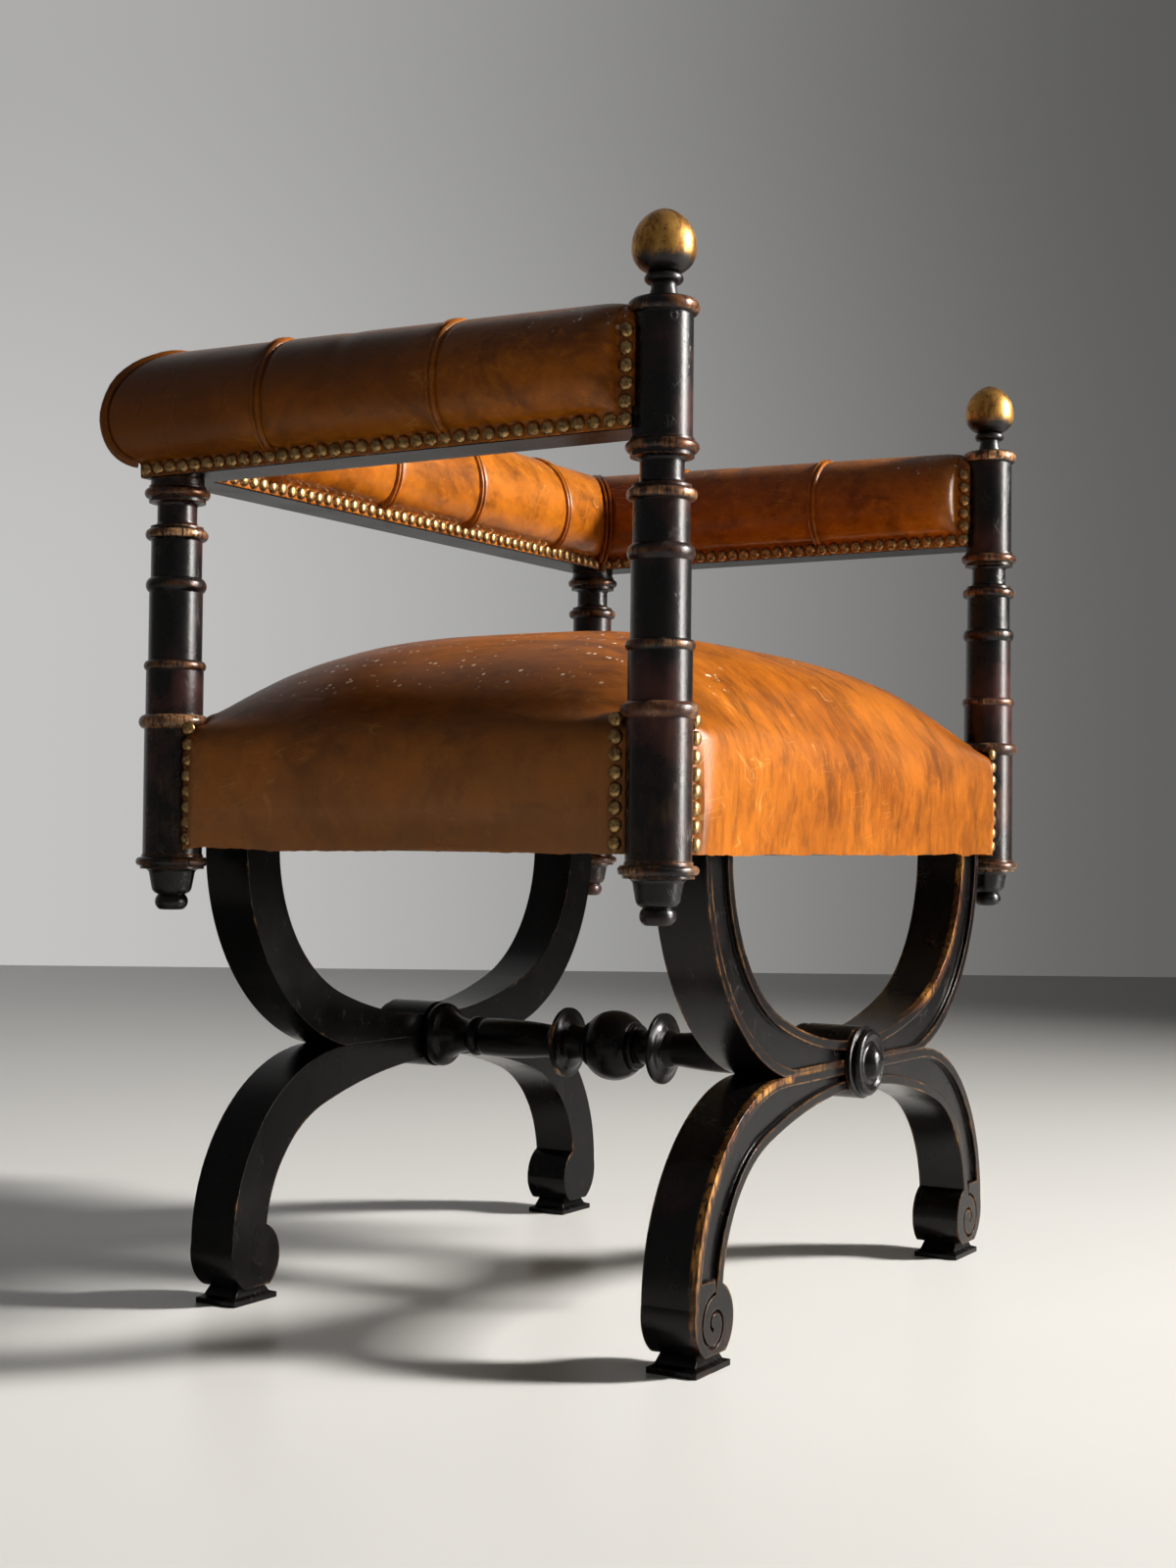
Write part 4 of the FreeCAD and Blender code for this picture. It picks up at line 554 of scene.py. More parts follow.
front_wood = ebonised_wood("ebonised_front", 0.92, 0.35, GOLD, rubbed_arms, scratched=0.12, specular=0.21)
frame_wood = ebonised_wood("ebonised_frame", 0.35, 0.12, COPPER, specular=0.14)
turned_wood = ebonised_wood("ebonised_turned", 0.95, 0.76, COPPER, ring_crests, scratched=0.20,
                            specular=0.28, rough=(0.17, 0.40))
# the seat's hide carries painted shade over its left shoulder, and a painted sheen with the dust on its
# sides
seat_hide = leather("seat_hide", rgb(0.28, 0.072, 0.0035), rgb(0.46, 0.132, 0.006), (30.0, 10.0, 10.0),
                    seat_flakes, seat_dark_and_shaded, seat_dust_and_sheen, specular=0.18, rough=(0.26, 0.40))
roll_hide = leather("roll_hide", rgb(0.29, 0.074, 0.0040), rgb(0.48, 0.142, 0.007), (15.0, 15.0, 22.0),
                    arm_flakes, outside_of_rolls)
brass = antique_brass()
webbing = woven("webbing", rgb(0.16, 0.11, 0.06), rgb(0.42, 0.33, 0.20), 0.0028)
hessian = woven("hessian", rgb(0.22, 0.15, 0.07), rgb(0.50, 0.39, 0.22), 0.0022)
PAINTED = (
    (front_wood, ("front_upper_cross", "front_lower_cross", "front_boss")),
    (frame_wood, ("back_upper_cross", "back_lower_cross", "back_boss", "stretcher", "left_arm_rail",
                  "right_arm_rail", "back_rail", "front_left_foot", "front_right_foot", "back_left_foot",
                  "back_right_foot")),
    (gilt_egg(), ("front_left_finial", "front_right_finial")),
    (bare_beech(), ("front_seat_rail", "back_seat_rail", "left_seat_rail", "right_seat_rail",
                    "seat_corner_blocks", "cross_waist_dowels", "cross_seat_dowels", "roll_rail_dowels")),
    (webbing, ("webbing_lengthwise", "webbing_crosswise")),
    (hessian, ("seat_hessian",)),
    (spring_steel(), ("seat_springs",)),
)


def paint_solids():
    """Give each solid its material; the turned pieces are those not listed."""
    materials = {name: material for material, names in PAINTED for name in names}
    for name, solid in nodes.items():
        solid.data.materials.clear()
        solid.data.materials.append(materials.get(name, turned_wood))


# Building, stuffing and joining of soft pieces


def new_piece(name, points, faces, material, stands_for):
    mesh = bpy.data.meshes.new(name)
    mesh.from_pydata([tuple(point) for point in points], [], faces)
    mesh.update()
    piece = bpy.data.objects.new(name, mesh)
    bpy.context.collection.objects.link(piece)
    mesh.materials.append(material)
    face_out(piece)
    smooth_faces(piece)
    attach(piece, "root")
    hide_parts(*stands_for)
    return piece


def face_out(piece):
    work = bmesh.new()
    work.from_mesh(piece.data)
    bmesh.ops.recalc_face_normals(work, faces=work.faces)
    work.to_mesh(piece.data)
    work.free()


def smooth_faces(piece):
    for polygon in piece.data.polygons:
        polygon.use_smooth = True


def ring_faces(rows, count):
    """Quads between neighbouring rows of closed rings of count points."""
    faces = []
    for row in range(rows - 1):
        low, high = row * count, (row + 1) * count
        for number in range(count):
            follow = (number + 1) % count
            faces.append((low + number, low + follow, high + follow, high + number))
    return faces


def tip_faces(start, count, tip):
    """Triangles from a closed ring to its tip."""
    return [(start + number, start + (number + 1) % count, tip) for number in range(count)]


def apply_modifiers(piece):
    """Put the result of the modifiers into the mesh."""
    graph = bpy.context.evaluated_depsgraph_get()
    old = piece.data
    piece.data = bpy.data.meshes.new_from_object(piece.evaluated_get(graph))
    piece.modifiers.clear()
    bpy.data.meshes.remove(old)


def points_of(piece):
    flat = np.zeros(len(piece.data.vertices) * 3)
    piece.data.vertices.foreach_get("co", flat)
    return flat.reshape(-1, 3)


def set_points(piece, points):
    piece.data.vertices.foreach_set("co", points.ravel())
    piece.data.update()


def stuffed(piece, held, cap, pressure):
    """Swell the piece as a filled cover by cap at most; held is each point's share of staying in place."""
    before = points_of(piece)
    group = piece.vertex_groups.new(name="held")
    for number, share in enumerate(held):
        if share > 0:
            group.add([number], float(share), "REPLACE")
    cloth = piece.modifiers.new("cloth", "CLOTH")
    for name, value in CLOTH.items():
        setattr(cloth.settings, name, value)
    cloth.settings.uniform_pressure_force = pressure
    cloth.settings.effector_weights.gravity = 0
    cloth.point_cache.frame_start = 1
    cloth.point_cache.frame_end = SIM_FRAMES
    for step in range(1, SIM_FRAMES + 1):
        bpy.context.scene.frame_set(step)
    apply_modifiers(piece)
    bpy.context.scene.frame_set(1)
    move = points_of(piece) - before
    length = np.linalg.norm(move, axis=1, keepdims=True)
    move *= np.minimum(1.0, cap / np.maximum(length, 1e-9))
    set_points(piece, before + move)


def smooth(value):
    """Smooth rise from 0 at 0 to 1 at 1."""
    value = min(max(value, 0.0), 1.0)
    return value * value * (3 - 2 * value)


def bulge(value):
    """Quarter round from 0 to 1, steep at the start."""
    value = min(max(value, 0.0), 1.0)
    return math.sqrt(1 - (1 - value) ** 2)


# Padded roll along left, back and right


def full_section(share, half, top):
    """Point (out, up) of the full roll, from the outer tuck (0) over the top (0.5)."""
    if share > 0.5:
        out, up = full_section(1 - share, half, top)
        return -out, up
    if share < LOW_SHARE:
        turn = (1 - share / LOW_SHARE) * math.pi / 2
        out = ROLL_FACE + (half - ROLL_FACE) * math.cos(turn)
        return out, ROLL_WIDE - (ROLL_WIDE - ROLL_TUCK) * math.sin(turn)
    turn = (share - LOW_SHARE) / (0.5 - LOW_SHARE) * math.pi / 2
    return half * math.cos(turn) ** ROLL_POWER, ROLL_WIDE + (top - ROLL_WIDE) * math.sin(turn)


def end_section(share):
    """Point (out, up) of the flat nailed end beside a front post."""
    if share > 0.5:
        out, up = end_section(1 - share)
        return -out, up
    shoulder = ROLL_END_TOP - ROLL_END_ROUND
    if share < ROLL_END_KNEE:
        return ROLL_FACE, ROLL_TUCK + (shoulder - ROLL_TUCK) * share / ROLL_END_KNEE
    turn = (share - ROLL_END_KNEE) / (0.5 - ROLL_END_KNEE) * math.pi / 2
    return ROLL_FACE * math.cos(turn), shoulder + ROLL_END_ROUND * math.sin(turn)


def base_loop():
    """Points (out, up) from the inner tuck down round the rail and up to the outer tuck."""
    face = [(-ROLL_FACE, up) for up in (0.6140, 0.6100, RAIL_BOTTOM)]
    beside_rail = [(-RAIL_HALF, up) for up in (RAIL_BOTTOM, 0.6150, RAIL_TOP)]
    inner = face + beside_rail + [(-0.009, RAIL_TOP)]
    return inner + [(0.0, RAIL_TOP)] + [(-out, up) for out, up in reversed(inner)]


BASE = base_loop()
LOOP = ARC_STEPS + 1 + len(BASE)


def roll_loop(swell, top, drawn):
    """One ring of the roll; swell 0 is the flat end and 1 the full roll, drawn pulls the seam in."""
    loop = []
    for number in range(ARC_STEPS + 1):
        share = number / ARC_STEPS
        full_out, full_up = full_section(share, ROLL_HALF - drawn, top - drawn)
        end_out, end_up = end_section(share)
        loop.append((end_out + (full_out - end_out) * swell, end_up + (full_up - end_up) * swell))
    return loop + BASE


def creased(distance, seams):
    """How far the leather is drawn in beside the nearest seam, and how far that seam is."""
    near = min(abs(distance - seam) for seam in seams)
    return SEAM_DEPTH * math.exp(-(near / SEAM_REACH) ** 2), near


def along_arm(distance, side):
    """Ring of an arm at a distance from its front post's axis, and whether it is held."""
    length = BACK_Y - FRONT_Y
    flat_end = ROLL_END + ROLL_END_FLAT
    swell = bulge((distance - flat_end) / ROLL_END_SWELL)
    drawn, near = creased(distance, ARM_SEAMS + (length,))
    drawn += FAINT_DEPTH * math.exp(-((distance - FAINT_CREASE) / SEAM_REACH) ** 2)
    top = ROLL_TOP_FRONT + (ROLL_TOP_BACK - ROLL_TOP_FRONT) * distance / length
    shear = smooth((distance - length + MITRE_LENGTH) / MITRE_LENGTH)
    ring = []
    for out, up in roll_loop(swell, top, drawn):
        post_face = math.sqrt(max(POST_CLEAR ** 2 - out * out, 0.0))
        y = FRONT_Y + max(distance, post_face) + out * shear
        ring.append(Vector((side * (POST_X + out), y, up)))
    return ring, distance < flat_end + 0.004 or near < SEAM_HELD


def along_back(distance):
    """Ring of the back at a distance from the left post's axis, and whether it is held."""
    length = 2 * POST_X
    drawn, near = creased(distance, BACK_SEAMS + (0.0, length))
    left = 1 - smooth(distance / MITRE_LENGTH)
    right = smooth((distance - length + MITRE_LENGTH) / MITRE_LENGTH)
    ring = []
    for out, up in roll_loop(1.0, ROLL_TOP_BACK, drawn):
        ring.append(Vector((-POST_X + distance + out * (right - left), BACK_Y + out, up)))
    return ring, near < SEAM_HELD


def stations(marks):
    """Evenly spaced distances that fall on every mark."""
    found = [marks[0]]
    for low, high in zip(marks, marks[1:]):
        count = max(2, round((high - low) / ROLL_SPACING))
        found += [low + (high - low) * (number + 1) / count for number in range(count)]
    return found


def end_faces(row_start):
    """Strip that closes a ring across the roll."""
    faces = []
    for number in range(ARC_STEPS // 2 - 1):
        first, last = row_start + number, row_start + ARC_STEPS - number
        faces.append((first, first + 1, last - 1, last))
    top = row_start + ARC_STEPS // 2
    faces.append((top - 1, top, top + 1))
    faces.append((*range(row_start + ARC_STEPS, row_start + LOOP), row_start))
    return faces


def make_roll(label, distances, ring_at):
    points, held = [], []
    for distance in distances:
        ring, pinned = ring_at(distance)
        points += ring
        row = np.ones(LOOP)
        if not pinned:
            row[1:ARC_STEPS] = 0.0
        held.append(row)
    rows = len(distances)
    faces = ring_faces(rows, LOOP) + end_faces(0) + end_faces((rows - 1) * LOOP)
    stands_for = (f"{label}_cover", f"{label}_stuffing")
    piece = new_piece(f"{label}_roll", points, faces, roll_hide, stands_for)
    stuffed(piece, np.concatenate(held), ROLL_SWELL_CAP, ROLL_PRESSURE)
    return piece


def swept_welt(ring, along, points, faces, lift=0.0):
    """Add a raised double ridge along a ring of the stuffed roll; lift raises it on the inner side."""
    first = len(points)
    centre = (ring[0] + ring[-1]) / 2
    centre.z = ROLL_WIDE
    last = len(ring) - 1
    for number, point in enumerate(ring):
        ahead = ring[min(number + 1, last)] - ring[max(number - 1, 0)]
        outward = ahead.cross(along).normalized()
        if outward.dot(point - centre) < 0:
            outward.negate()
        waver = 1 + 0.16 * noise.noise(point * 60) + lift * smooth(number / last * 4 - 2)
        points += [point + along * shift + outward * rise * waver for shift, rise in WELT]
    width = len(WELT)
    for number in range(last):
        for step in range(width - 1):
            base = first + number * width + step
            faces.append((base, base + 1, base + width + 1, base + width))


def stitches(ring, along, points, faces):
    """Add a row of short thread stitches in the groove of a welt."""
    centre = (ring[0] + ring[-1]) / 2
    centre.z = ROLL_WIDE
    path = 0.0
    for low, high in zip(ring, ring[1:]):
        path += (high - low).length
        if path < STITCH_PITCH:
            continue
        path = 0.0
        ahead = (high - low).normalized()
        outward = ahead.cross(along)
        if outward.dot(low - centre) < 0:
            outward.negate()
        add_stitch(low + outward * STITCH_RISE + along * STITCH_SHIFT, ahead, along, outward, points, faces)


def add_stitch(middle, ahead, along, outward, points, faces):
    first = len(points)
    levels = len(STITCH_LEVELS)
    for turn in range(STITCH_TURNS):
        angle = turn * math.tau / STITCH_TURNS
        across = (along * math.cos(angle) + outward * math.sin(angle)) * STITCH_RADIUS
        for reach, wide in STITCH_LEVELS:
            points.append(middle + ahead * reach * STITCH_PITCH * STITCH_HALF + across * wide)
    starts = [first + turn * levels for turn in range(STITCH_TURNS)]
    for here, there in zip(starts, starts[1:] + starts[:1]):
        for step in range(levels - 1):
            faces.append((here + step, here + step + 1, there + step + 1, there + step))
    faces.append(tuple(starts))
    faces.append(tuple(start + levels - 1 for start in reversed(starts)))


def seam_welts(label, piece, distances, seams, mitres):
    """Welts over the seams of a stuffed roll, each given as (distance, direction along the roll)."""
    rows = points_of(piece).reshape(len(distances), LOOP, 3)
    points, faces = [], []
    for distance, along in seams + mitres:
        row = min(range(len(distances)), key=lambda number: abs(distances[number] - distance))
        ring = [Vector(point) for point in rows[row][:ARC_STEPS + 1]]
        mitred = (distance, along) in mitres
        swept_welt(ring, along, points, faces, MITRE_LIFT if mitred else 0.0)
        if mitred:
            stitches(ring, along, points, faces)
    new_piece(f"{label}_welts", points, faces, roll_hide, (f"{label}_piping",))


def beside(seams):
    """Marks on and close beside each seam."""
    return [seam + shift for seam in seams for shift in (-BY_SEAM, -NEAR_SEAM, 0.0, NEAR_SEAM, BY_SEAM)]


def finish_roll(roll):
    smooth_faces(roll)
    finer = roll.modifiers.new("round", "SUBSURF")
    finer.levels = 1
    finer.render_levels = 1


def make_rolls():
    arm = BACK_Y - FRONT_Y
    flat_end = ROLL_END + ROLL_END_FLAT
    swelling = [flat_end + ROLL_END_SWELL * share for share in (0.0, 0.06, 0.18, 0.38, 0.66, 1.0)]
    arm_places = stations([ROLL_END, *swelling, *beside(ARM_SEAMS), arm - BY_SEAM, arm - NEAR_SEAM, arm])
    arm_seams = [(seam, Vector((0, 1, 0))) for seam in ARM_SEAMS]
    for label, side in (("left_arm", -1), ("right_arm", 1)):
        roll = make_roll(label, arm_places, lambda place: along_arm(place, side))
        seam_welts(label, roll, arm_places, arm_seams, [])
        finish_roll(roll)
    back = 2 * POST_X
    back_places = stations([0.0, NEAR_SEAM, BY_SEAM, *beside(BACK_SEAMS),
                            back - BY_SEAM, back - NEAR_SEAM, back])
    back_seams = [(seam, Vector((1, 0, 0))) for seam in BACK_SEAMS]
    mitres = [(0.0, Vector((1, 1, 0)).normalized()), (back, Vector((1, -1, 0)).normalized())]
    roll = make_roll("back", back_places, along_back)
    seam_welts("back", roll, back_places, back_seams, mitres)
    finish_roll(roll)


# Seat


def seat_height(x, y):
    across = max(1 - abs(x / SEAT_HALF_X) ** CROWN_POWER_X, 0.0) ** CROWN_ROUND
    along = max(1 - abs((y - MIDDLE_Y) / SEAT_HALF_Y) ** CROWN_POWER_Y, 0.0) ** CROWN_ROUND
    return SEAT_EDGE + SEAT_CROWN * across * along


def seat_corner():
    """Bite round a post at the corner of the plan, from the side along X to the side along Y."""
    bite = POST_RADIUS - POST_OVERLAP
    edge_x = SEAT_HALF_X - POST_X
    edge_y = SEAT_HALF_Y - POST_Y
    first = math.atan2(edge_y, -math.sqrt(bite ** 2 - edge_y ** 2))
    last = math.atan2(-math.sqrt(bite ** 2 - edge_x ** 2), edge_x) + math.tau
    corner = []
    for number in range(BITE_STEPS + 1):
        angle = first + (last - first) * number / BITE_STEPS
        corner.append((POST_X + bite * math.cos(angle), POST_Y + bite * math.sin(angle)))
    return corner


def seat_outline():
    """Plan of the seat: a rectangle bitten out round the four posts."""
    corner = seat_corner()
    plan = []
    for sign_x, sign_y in ((1, 1), (1, -1), (-1, -1), (-1, 1)):
        bitten = [(x * sign_x, y * sign_y) for x, y in corner]
        plan.append(bitten if sign_x == sign_y else bitten[::-1])
    outline = []
    for number, bitten in enumerate(plan):
        outline += bitten
        end = Vector(bitten[-1])
        span = Vector(plan[(number + 1) % 4][0]) - end
        pieces = int(span.length / OUTLINE_STEP)
        outline += [tuple(end + span * (part / pieces)) for part in range(1, pieces)]
    return [(x, y + MIDDLE_Y) for x, y in outline]


def seat_block():
    """Closed block of the seat: skirt, domed top and flat underside."""
    outline = seat_outline()
    count = len(outline)
    points = []
    for part in (0.0, 0.5):
        height = SKIRT_BOTTOM - SKIRT_SPARE + (SEAT_EDGE - SKIRT_BOTTOM) * part
        points += [Vector((x, y, height)) for x, y in outline]
    for share in SEAT_SHARES:
        for x, y in outline:
            px, py = x * share, MIDDLE_Y + (y - MIDDLE_Y) * share
            points.append(Vector((px, py, seat_height(px, py))))
    faces = ring_faces(len(points) // count, count)
    faces.append(tuple(range(count))[::-1])
    tip = len(points)
    points.append(Vector((0, MIDDLE_Y, seat_height(0, MIDDLE_Y))))
    faces += tip_faces(tip - count, count, tip)
    return points, faces


def seat_hold(x, y, z):
    """How firmly a point of the seat's leather is held: at the skirt and beside the nails."""
    post = math.hypot(abs(x) - POST_X, abs(y - MIDDLE_Y) - POST_Y)
    low = 1 - smooth((z - SKIRT_BOTTOM - 0.012) / 0.02)
    nailed = 1 - smooth((post - 0.030) / 0.014)
    return max(low, nailed if z < SEAT_EDGE + 0.03 else 0.0)


def make_seat():
    points, faces = seat_block()
    seat = new_piece("seat_leather", points, faces, seat_hide, ("seat_cover", "seat_stuffing"))
    remesh = seat.modifiers.new("remesh", "REMESH")
    remesh.mode = "VOXEL"
    remesh.voxel_size = SEAT_VOXEL
    apply_modifiers(seat)
    stuffed(seat, [seat_hold(*point) for point in points_of(seat)], SEAT_SWELL_CAP, SEAT_PRESSURE)
    seat.modifiers.new("finer", "SUBSURF").levels = 1
    apply_modifiers(seat)
    puff_sides(seat)
    trim_skirt(seat)
    thick = seat.modifiers.new("thick", "SOLIDIFY")
    thick.thickness = SEAT_THICKNESS
    thick.offset = -1


def puff_sides(seat):
    """Swell the sides beside the nails, gather the leather over the nail rows and ease the shoulder."""
    points = points_of(seat)
    x, y, z = points[:, X], points[:, Y] - MIDDLE_Y, points[:, Z]
    height = np.clip((z - SKIRT_BOTTOM) / 0.030, 0, 1) * 0.4 + 0.6
    fade = 1 - np.clip((z - SEAT_EDGE + 0.004) / 0.034, 0, 1) ** 2
    for axis, half, along, post in ((X, SEAT_HALF_X, y, POST_Y), (Y, SEAT_HALF_Y, x, POST_X)):
        across = (x, y)[axis]
        on_side = np.clip((np.abs(across) - half + 0.010) / 0.007, 0, 1)
        gap = post - np.abs(along) - NAIL_GAP
        swell = np.sqrt(1 - (1 - np.clip(gap / PUFF_REACH, 0, 1)) ** 2)
        settle = 0.55 + 0.45 * np.exp(-(gap / 0.075) ** 2)
        points[:, axis] += np.sign(across) * PUFF * on_side * swell * settle * height * fade
    for sign_x in (-1, 1):
        for sign_y in (-1, 1):
            near_x, near_y = sign_x * x - POST_X, sign_y * y - POST_Y
            reach = np.sqrt(near_x ** 2 + near_y ** 2 + (z - PUCKER_HEIGHT) ** 2)
            ridge = np.exp(-((reach - PUCKER_RADIUS) / PUCKER_REACH) ** 2)
            points[:, Z] += PUCKER * np.sin(np.arctan2(near_x, near_y) * 9) * ridge
    set_points(seat, points)
    shoulder = seat.vertex_groups.new(name="shoulder")
    post = np.hypot(np.abs(x) - POST_X, np.abs(y) - POST_Y)
    clear = np.clip((post - 0.027) / 0.009, 0, 1)
    for number, level in enumerate(z):
        weight = clear[number] * math.exp(-((level - SEAT_EDGE - 0.006) / 0.026) ** 2)
        if weight > 0.02:
            shoulder.add([number], weight, "REPLACE")
    soften = seat.modifiers.new("soften", "SMOOTH")
    soften.iterations = 90
    soften.factor = 0.6
    soften.vertex_group = "shoulder"
    apply_modifiers(seat)


def trim_skirt(seat):
    """Cut the cover off at a slightly wavy raw edge and leave it open below."""
    work = bmesh.new()
    work.from_mesh(seat.data)
    everything = work.verts[:] + work.edges[:] + work.faces[:]
    cut = SKIRT_BOTTOM + SKIRT_CUT
    bmesh.ops.bisect_plane(work, geom=everything, plane_co=(0, 0, cut), plane_no=(0, 0, 1),
                           clear_inner=True)
    for vertex in work.verts:
        if vertex.co.z < cut + 0.0002:
            wave = noise.noise(vertex.co * 34) * 0.0014 + noise.noise(vertex.co * 150) * 0.0008
            vertex.co.z += wave
    work.to_mesh(seat.data)
    work.free()


# Brass nails


def islands(node):
    """Lowest and highest corner of each separate solid of a node."""
    work = bmesh.new()
    work.from_mesh(node.data)
    bmesh.ops.remove_doubles(work, verts=work.verts, dist=1e-6)
    corners = []
    left = set(work.verts)
    while left:
        front = [left.pop()]
        found = []
        while front:
            vertex = front.pop()
            found.append(vertex.co.copy())
            for edge in vertex.link_edges:
                other = edge.other_vert(vertex)
                if other in left:
                    left.discard(other)
                    front.append(other)
        low = [min(point[axis] for point in found) for axis in range(3)]
        high = [max(point[axis] for point in found) for axis in range(3)]
        corners.append((Vector(low), Vector(high)))
    work.free()
    return sorted(corners, key=lambda pair: tuple(round(value, 5) for value in pair[0]))


def nail_head(middle, outward):
    """Domed head with a thin flat rim, a little tilted and worn, as (points, faces)."""
    tilt = Vector((random.uniform(-1, 1), random.uniform(-1, 1), random.uniform(-1, 1))) * NAIL_TILT
    axis = (outward + tilt).normalized()
    side = axis.cross(Vector((0, 0, 1))).normalized()
    up = side.cross(axis)
    radius = NAIL_RADIUS * random.uniform(0.97, 1.02)
    rise = NAIL_RISE * random.uniform(0.85, 1.0)
    points = []
    for wide, high in NAIL_LEVELS:
        for number in range(NAIL_TURNS):
            angle = number * math.tau / NAIL_TURNS
            dent = 1 + random.uniform(-NAIL_DENT, NAIL_DENT)
            across = side * math.cos(angle) + up * math.sin(angle)
            points.append(middle + across * radius * wide * dent + axis * rise * high)
    tip = len(points)
    points.append(middle + axis * rise)
    faces = ring_faces(len(NAIL_LEVELS), NAIL_TURNS) + tip_faces(tip - NAIL_TURNS, NAIL_TURNS, tip)
    return points, faces


def nail_place(label, low, high):
    """Where a nail's head meets the leather, and which way it faces."""
    middle = (low + high) / 2
    if label == "seat" and abs(middle.y - MIDDLE_Y) > POST_Y:
        sign = math.copysign(1, middle.y - MIDDLE_Y)
        return Vector((middle.x, MIDDLE_Y + sign * SEAT_HALF_Y, middle.z)), Vector((0, sign, 0))
    if label == "seat":
        sign = math.copysign(1, middle.x)
        return Vector((sign * SEAT_HALF_X, middle.y, middle.z)), Vector((sign, 0, 0))
    if label == "back":
        sign = math.copysign(1, middle.y - BACK_Y)
        return Vector((middle.x, BACK_Y + sign * ROLL_FACE, middle.z)), Vector((0, sign, 0))
    arm = math.copysign(POST_X, middle.x)
    sign = math.copysign(1, middle.x - arm)
    return Vector((arm + sign * ROLL_FACE, middle.y, middle.z)), Vector((sign, 0, 0))


def make_nails():
    for label in ("seat", "left_arm", "right_arm", "back"):
        points, faces = [], []
        for low, high in islands(nodes[f"{label}_nails"]):
            middle, outward = nail_place(label, low, high)
            shift = Vector([random.uniform(-NAIL_SHIFT, NAIL_SHIFT) for axis in range(3)])
            shift -= outward * shift.dot(outward)
            head, sides = nail_head(middle + shift, outward)
            faces += [tuple(len(points) + number for number in side) for side in sides]
            points += head
        new_piece(f"{label}_nail_heads", points, faces, brass, (f"{label}_nails",))


# Floor, backdrop and lights


def make_floor():
    paint = Paint("floor", Specular_IOR_Level=0.13)
    colour = paint.mix(paint.noise(1.4, 3.0), rgb(0.76, 0.755, 0.73), rgb(0.82, 0.815, 0.79))
    paint.feed(Base_Color=colour, Roughness=paint.span(paint.noise(5.0, 4.0), 0.27, 0.30))
    bpy.ops.mesh.primitive_plane_add(size=FLOOR_SIZE)
    floor = bpy.context.object
    floor.name = "floor"
    floor.data.materials.append(paint.material)
    return floor


def wall_material():
    """Grey with a painted fall of light, darker to the right and upwards, that glows at its own level where
    it is seen or mirrored.
    """
    paint = Paint("wall", Roughness=0.9)
    # painted fall of light: lighter at the left, darker to the right and upwards
    grey = paint.add("ValToRGB", (paint.along(X, -1.6, 1.75),))
    stops = grey.color_ramp.elements
    stops[0].color = rgb(0.55, 0.545, 0.535)
    stops[1].color = rgb(0.115, 0.113, 0.108)
    stops.new(0.5).color = rgb(0.33, 0.327, 0.32)
    high = paint.times(paint.along(Z, 0.9, 2.5), 0.28)
    shaded = paint.mix(high, grey.outputs[0], rgb(0.06, 0.06, 0.06))
    glow = paint.add("Emission", (shaded, 1.0))
    path = paint.add("LightPath")
    seen = paint.calc("ADD", path.outputs["Is Camera Ray"], path.outputs["Is Glossy Ray"])
    seen = paint.calc("ADD", seen, path.outputs["Is Transmission Ray"])
    paint.feed(Base_Color=shaded)
    both = paint.add("MixShader", (seen, paint.shader.outputs[0], glow.outputs[0]))
    paint.links.new(both.outputs[0], paint.nodes["Material Output"].inputs["Surface"])
    return paint.material


def make_wall(level, forward):
    away = Vector((forward.x, forward.y, 0)).normalized()
    foot = Vector((CAMERA_PLACE[X], CAMERA_PLACE[Y], 0)) + away * WALL_AWAY
    corners = [(-WALL_HALF, 0, WALL_BOTTOM), (WALL_HALF, 0, WALL_BOTTOM),
               (WALL_HALF, 0, WALL_TOP), (-WALL_HALF, 0, WALL_TOP)]
    mesh = bpy.data.meshes.new("wall")
    mesh.from_pydata(corners, [], [(0, 1, 2, 3)])
    wall = bpy.data.objects.new("wall", mesh)
    turn = Matrix((level, away, Vector((0, 0, 1)))).transposed().to_4x4()
    wall.matrix_world = Matrix.Translation(foot) @ turn
    bpy.context.collection.objects.link(wall)
    mesh.materials.append(wall_material())
    return wall


def add_stage(level, forward):
    floor = make_floor()
    wall = make_wall(level, forward)


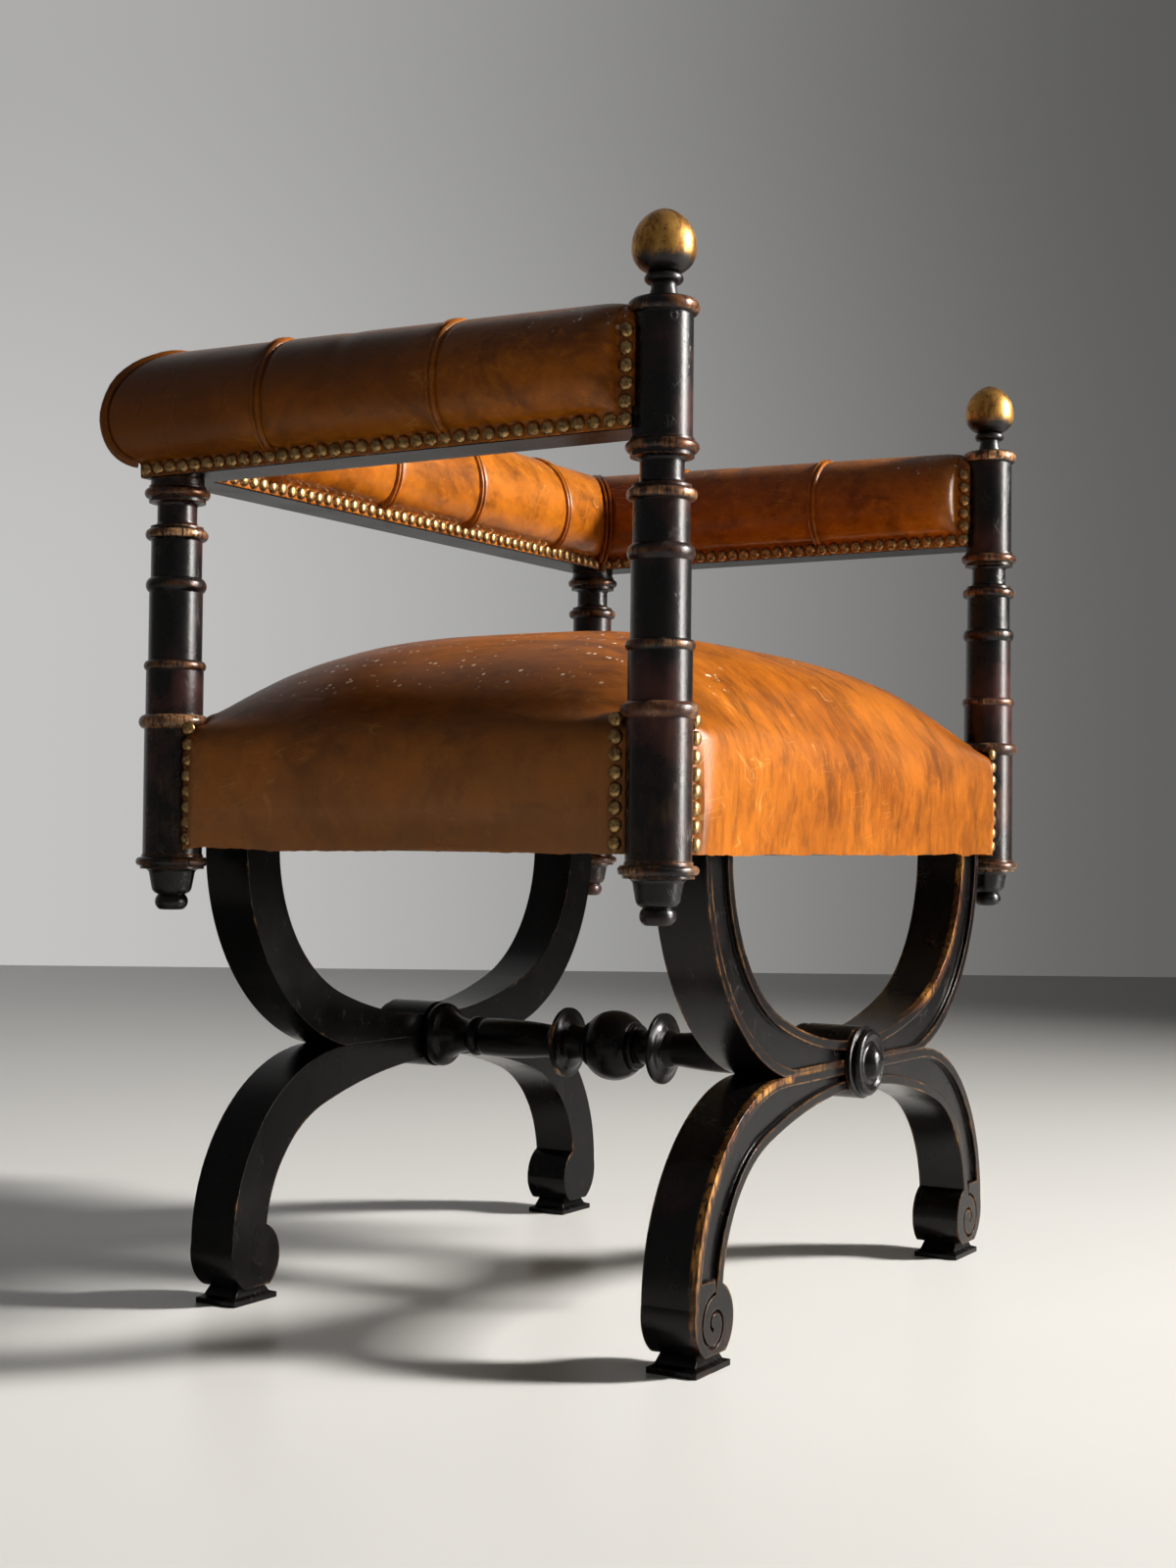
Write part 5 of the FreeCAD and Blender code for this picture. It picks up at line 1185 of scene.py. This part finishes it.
def add_area(name, place, target, size, power, spread, colour=(1.0, 0.97, 0.93)):
    data = bpy.data.lights.new(name, "AREA")
    data.shape = "RECTANGLE"
    data.size, data.size_y = size
    data.energy = power
    data.spread = math.radians(spread)
    data.color = colour
    lamp = bpy.data.objects.new(name, data)
    lamp.location = place
    lamp.rotation_euler = (Vector(target) - Vector(place)).to_track_quat("-Z", "Y").to_euler()
    bpy.context.collection.objects.link(lamp)
    return lamp


def add_lights():
    """Key from the right front, a weak low one, a strip that only mirrors show, and a weak fill."""
    floor_behind = (-0.63, 0.59, 0.08)
    behind_seat = (-0.20, 0.40, 0.40)
    add_area("key", (1.97, -3.41, 2.48), floor_behind, size=(0.55, 0.8), power=84.0, spread=80.0)
    add_area("low_key", (1.74, -2.68, 0.95), behind_seat, size=(0.5, 1.0), power=5.0, spread=90.0)
    strip = add_area("strip", (1.02, -3.03, 0.95), behind_seat, size=(0.7, 1.7), power=42.0, spread=90.0)
    strip.visible_diffuse = False
    add_area("fill", (-1.0, -2.2, 3.4), (0.0, 0.0, 0.2), size=(1.6, 1.6), power=2.4, spread=180.0,
             colour=(1.0, 1.0, 1.0))
    add_world()
    bpy.context.scene.view_settings.view_transform = "Standard"


def add_world():
    """Faint even light, with a grey backdrop where it is seen or mirrored."""
    world = bpy.data.worlds.new("world")
    world.use_nodes = True
    tree = world.node_tree
    light = tree.nodes["Background"]
    light.inputs[0].default_value = rgb(0.80, 0.80, 0.80)
    light.inputs[1].default_value = 0.05
    backdrop = tree.nodes.new("ShaderNodeBackground")
    backdrop.inputs[0].default_value = rgb(0.17, 0.168, 0.164)
    path = tree.nodes.new("ShaderNodeLightPath")
    seen = path.outputs["Is Camera Ray"]
    for name in ("Is Glossy Ray", "Is Transmission Ray"):
        either = tree.nodes.new("ShaderNodeMath")
        either.operation = "MAXIMUM"
        tree.links.new(seen, either.inputs[0])
        tree.links.new(path.outputs[name], either.inputs[1])
        seen = either.outputs[0]
    both = tree.nodes.new("ShaderNodeMixShader")
    tree.links.new(seen, both.inputs[0])
    tree.links.new(light.outputs[0], both.inputs[1])
    tree.links.new(backdrop.outputs[0], both.inputs[2])
    tree.links.new(both.outputs[0], tree.nodes["World Output"].inputs["Surface"])
    bpy.context.scene.world = world


view_right, view_forward = add_camera()
paint_solids()
make_rolls()
make_seat()
make_nails()
add_stage(view_right, view_forward)
add_lights()
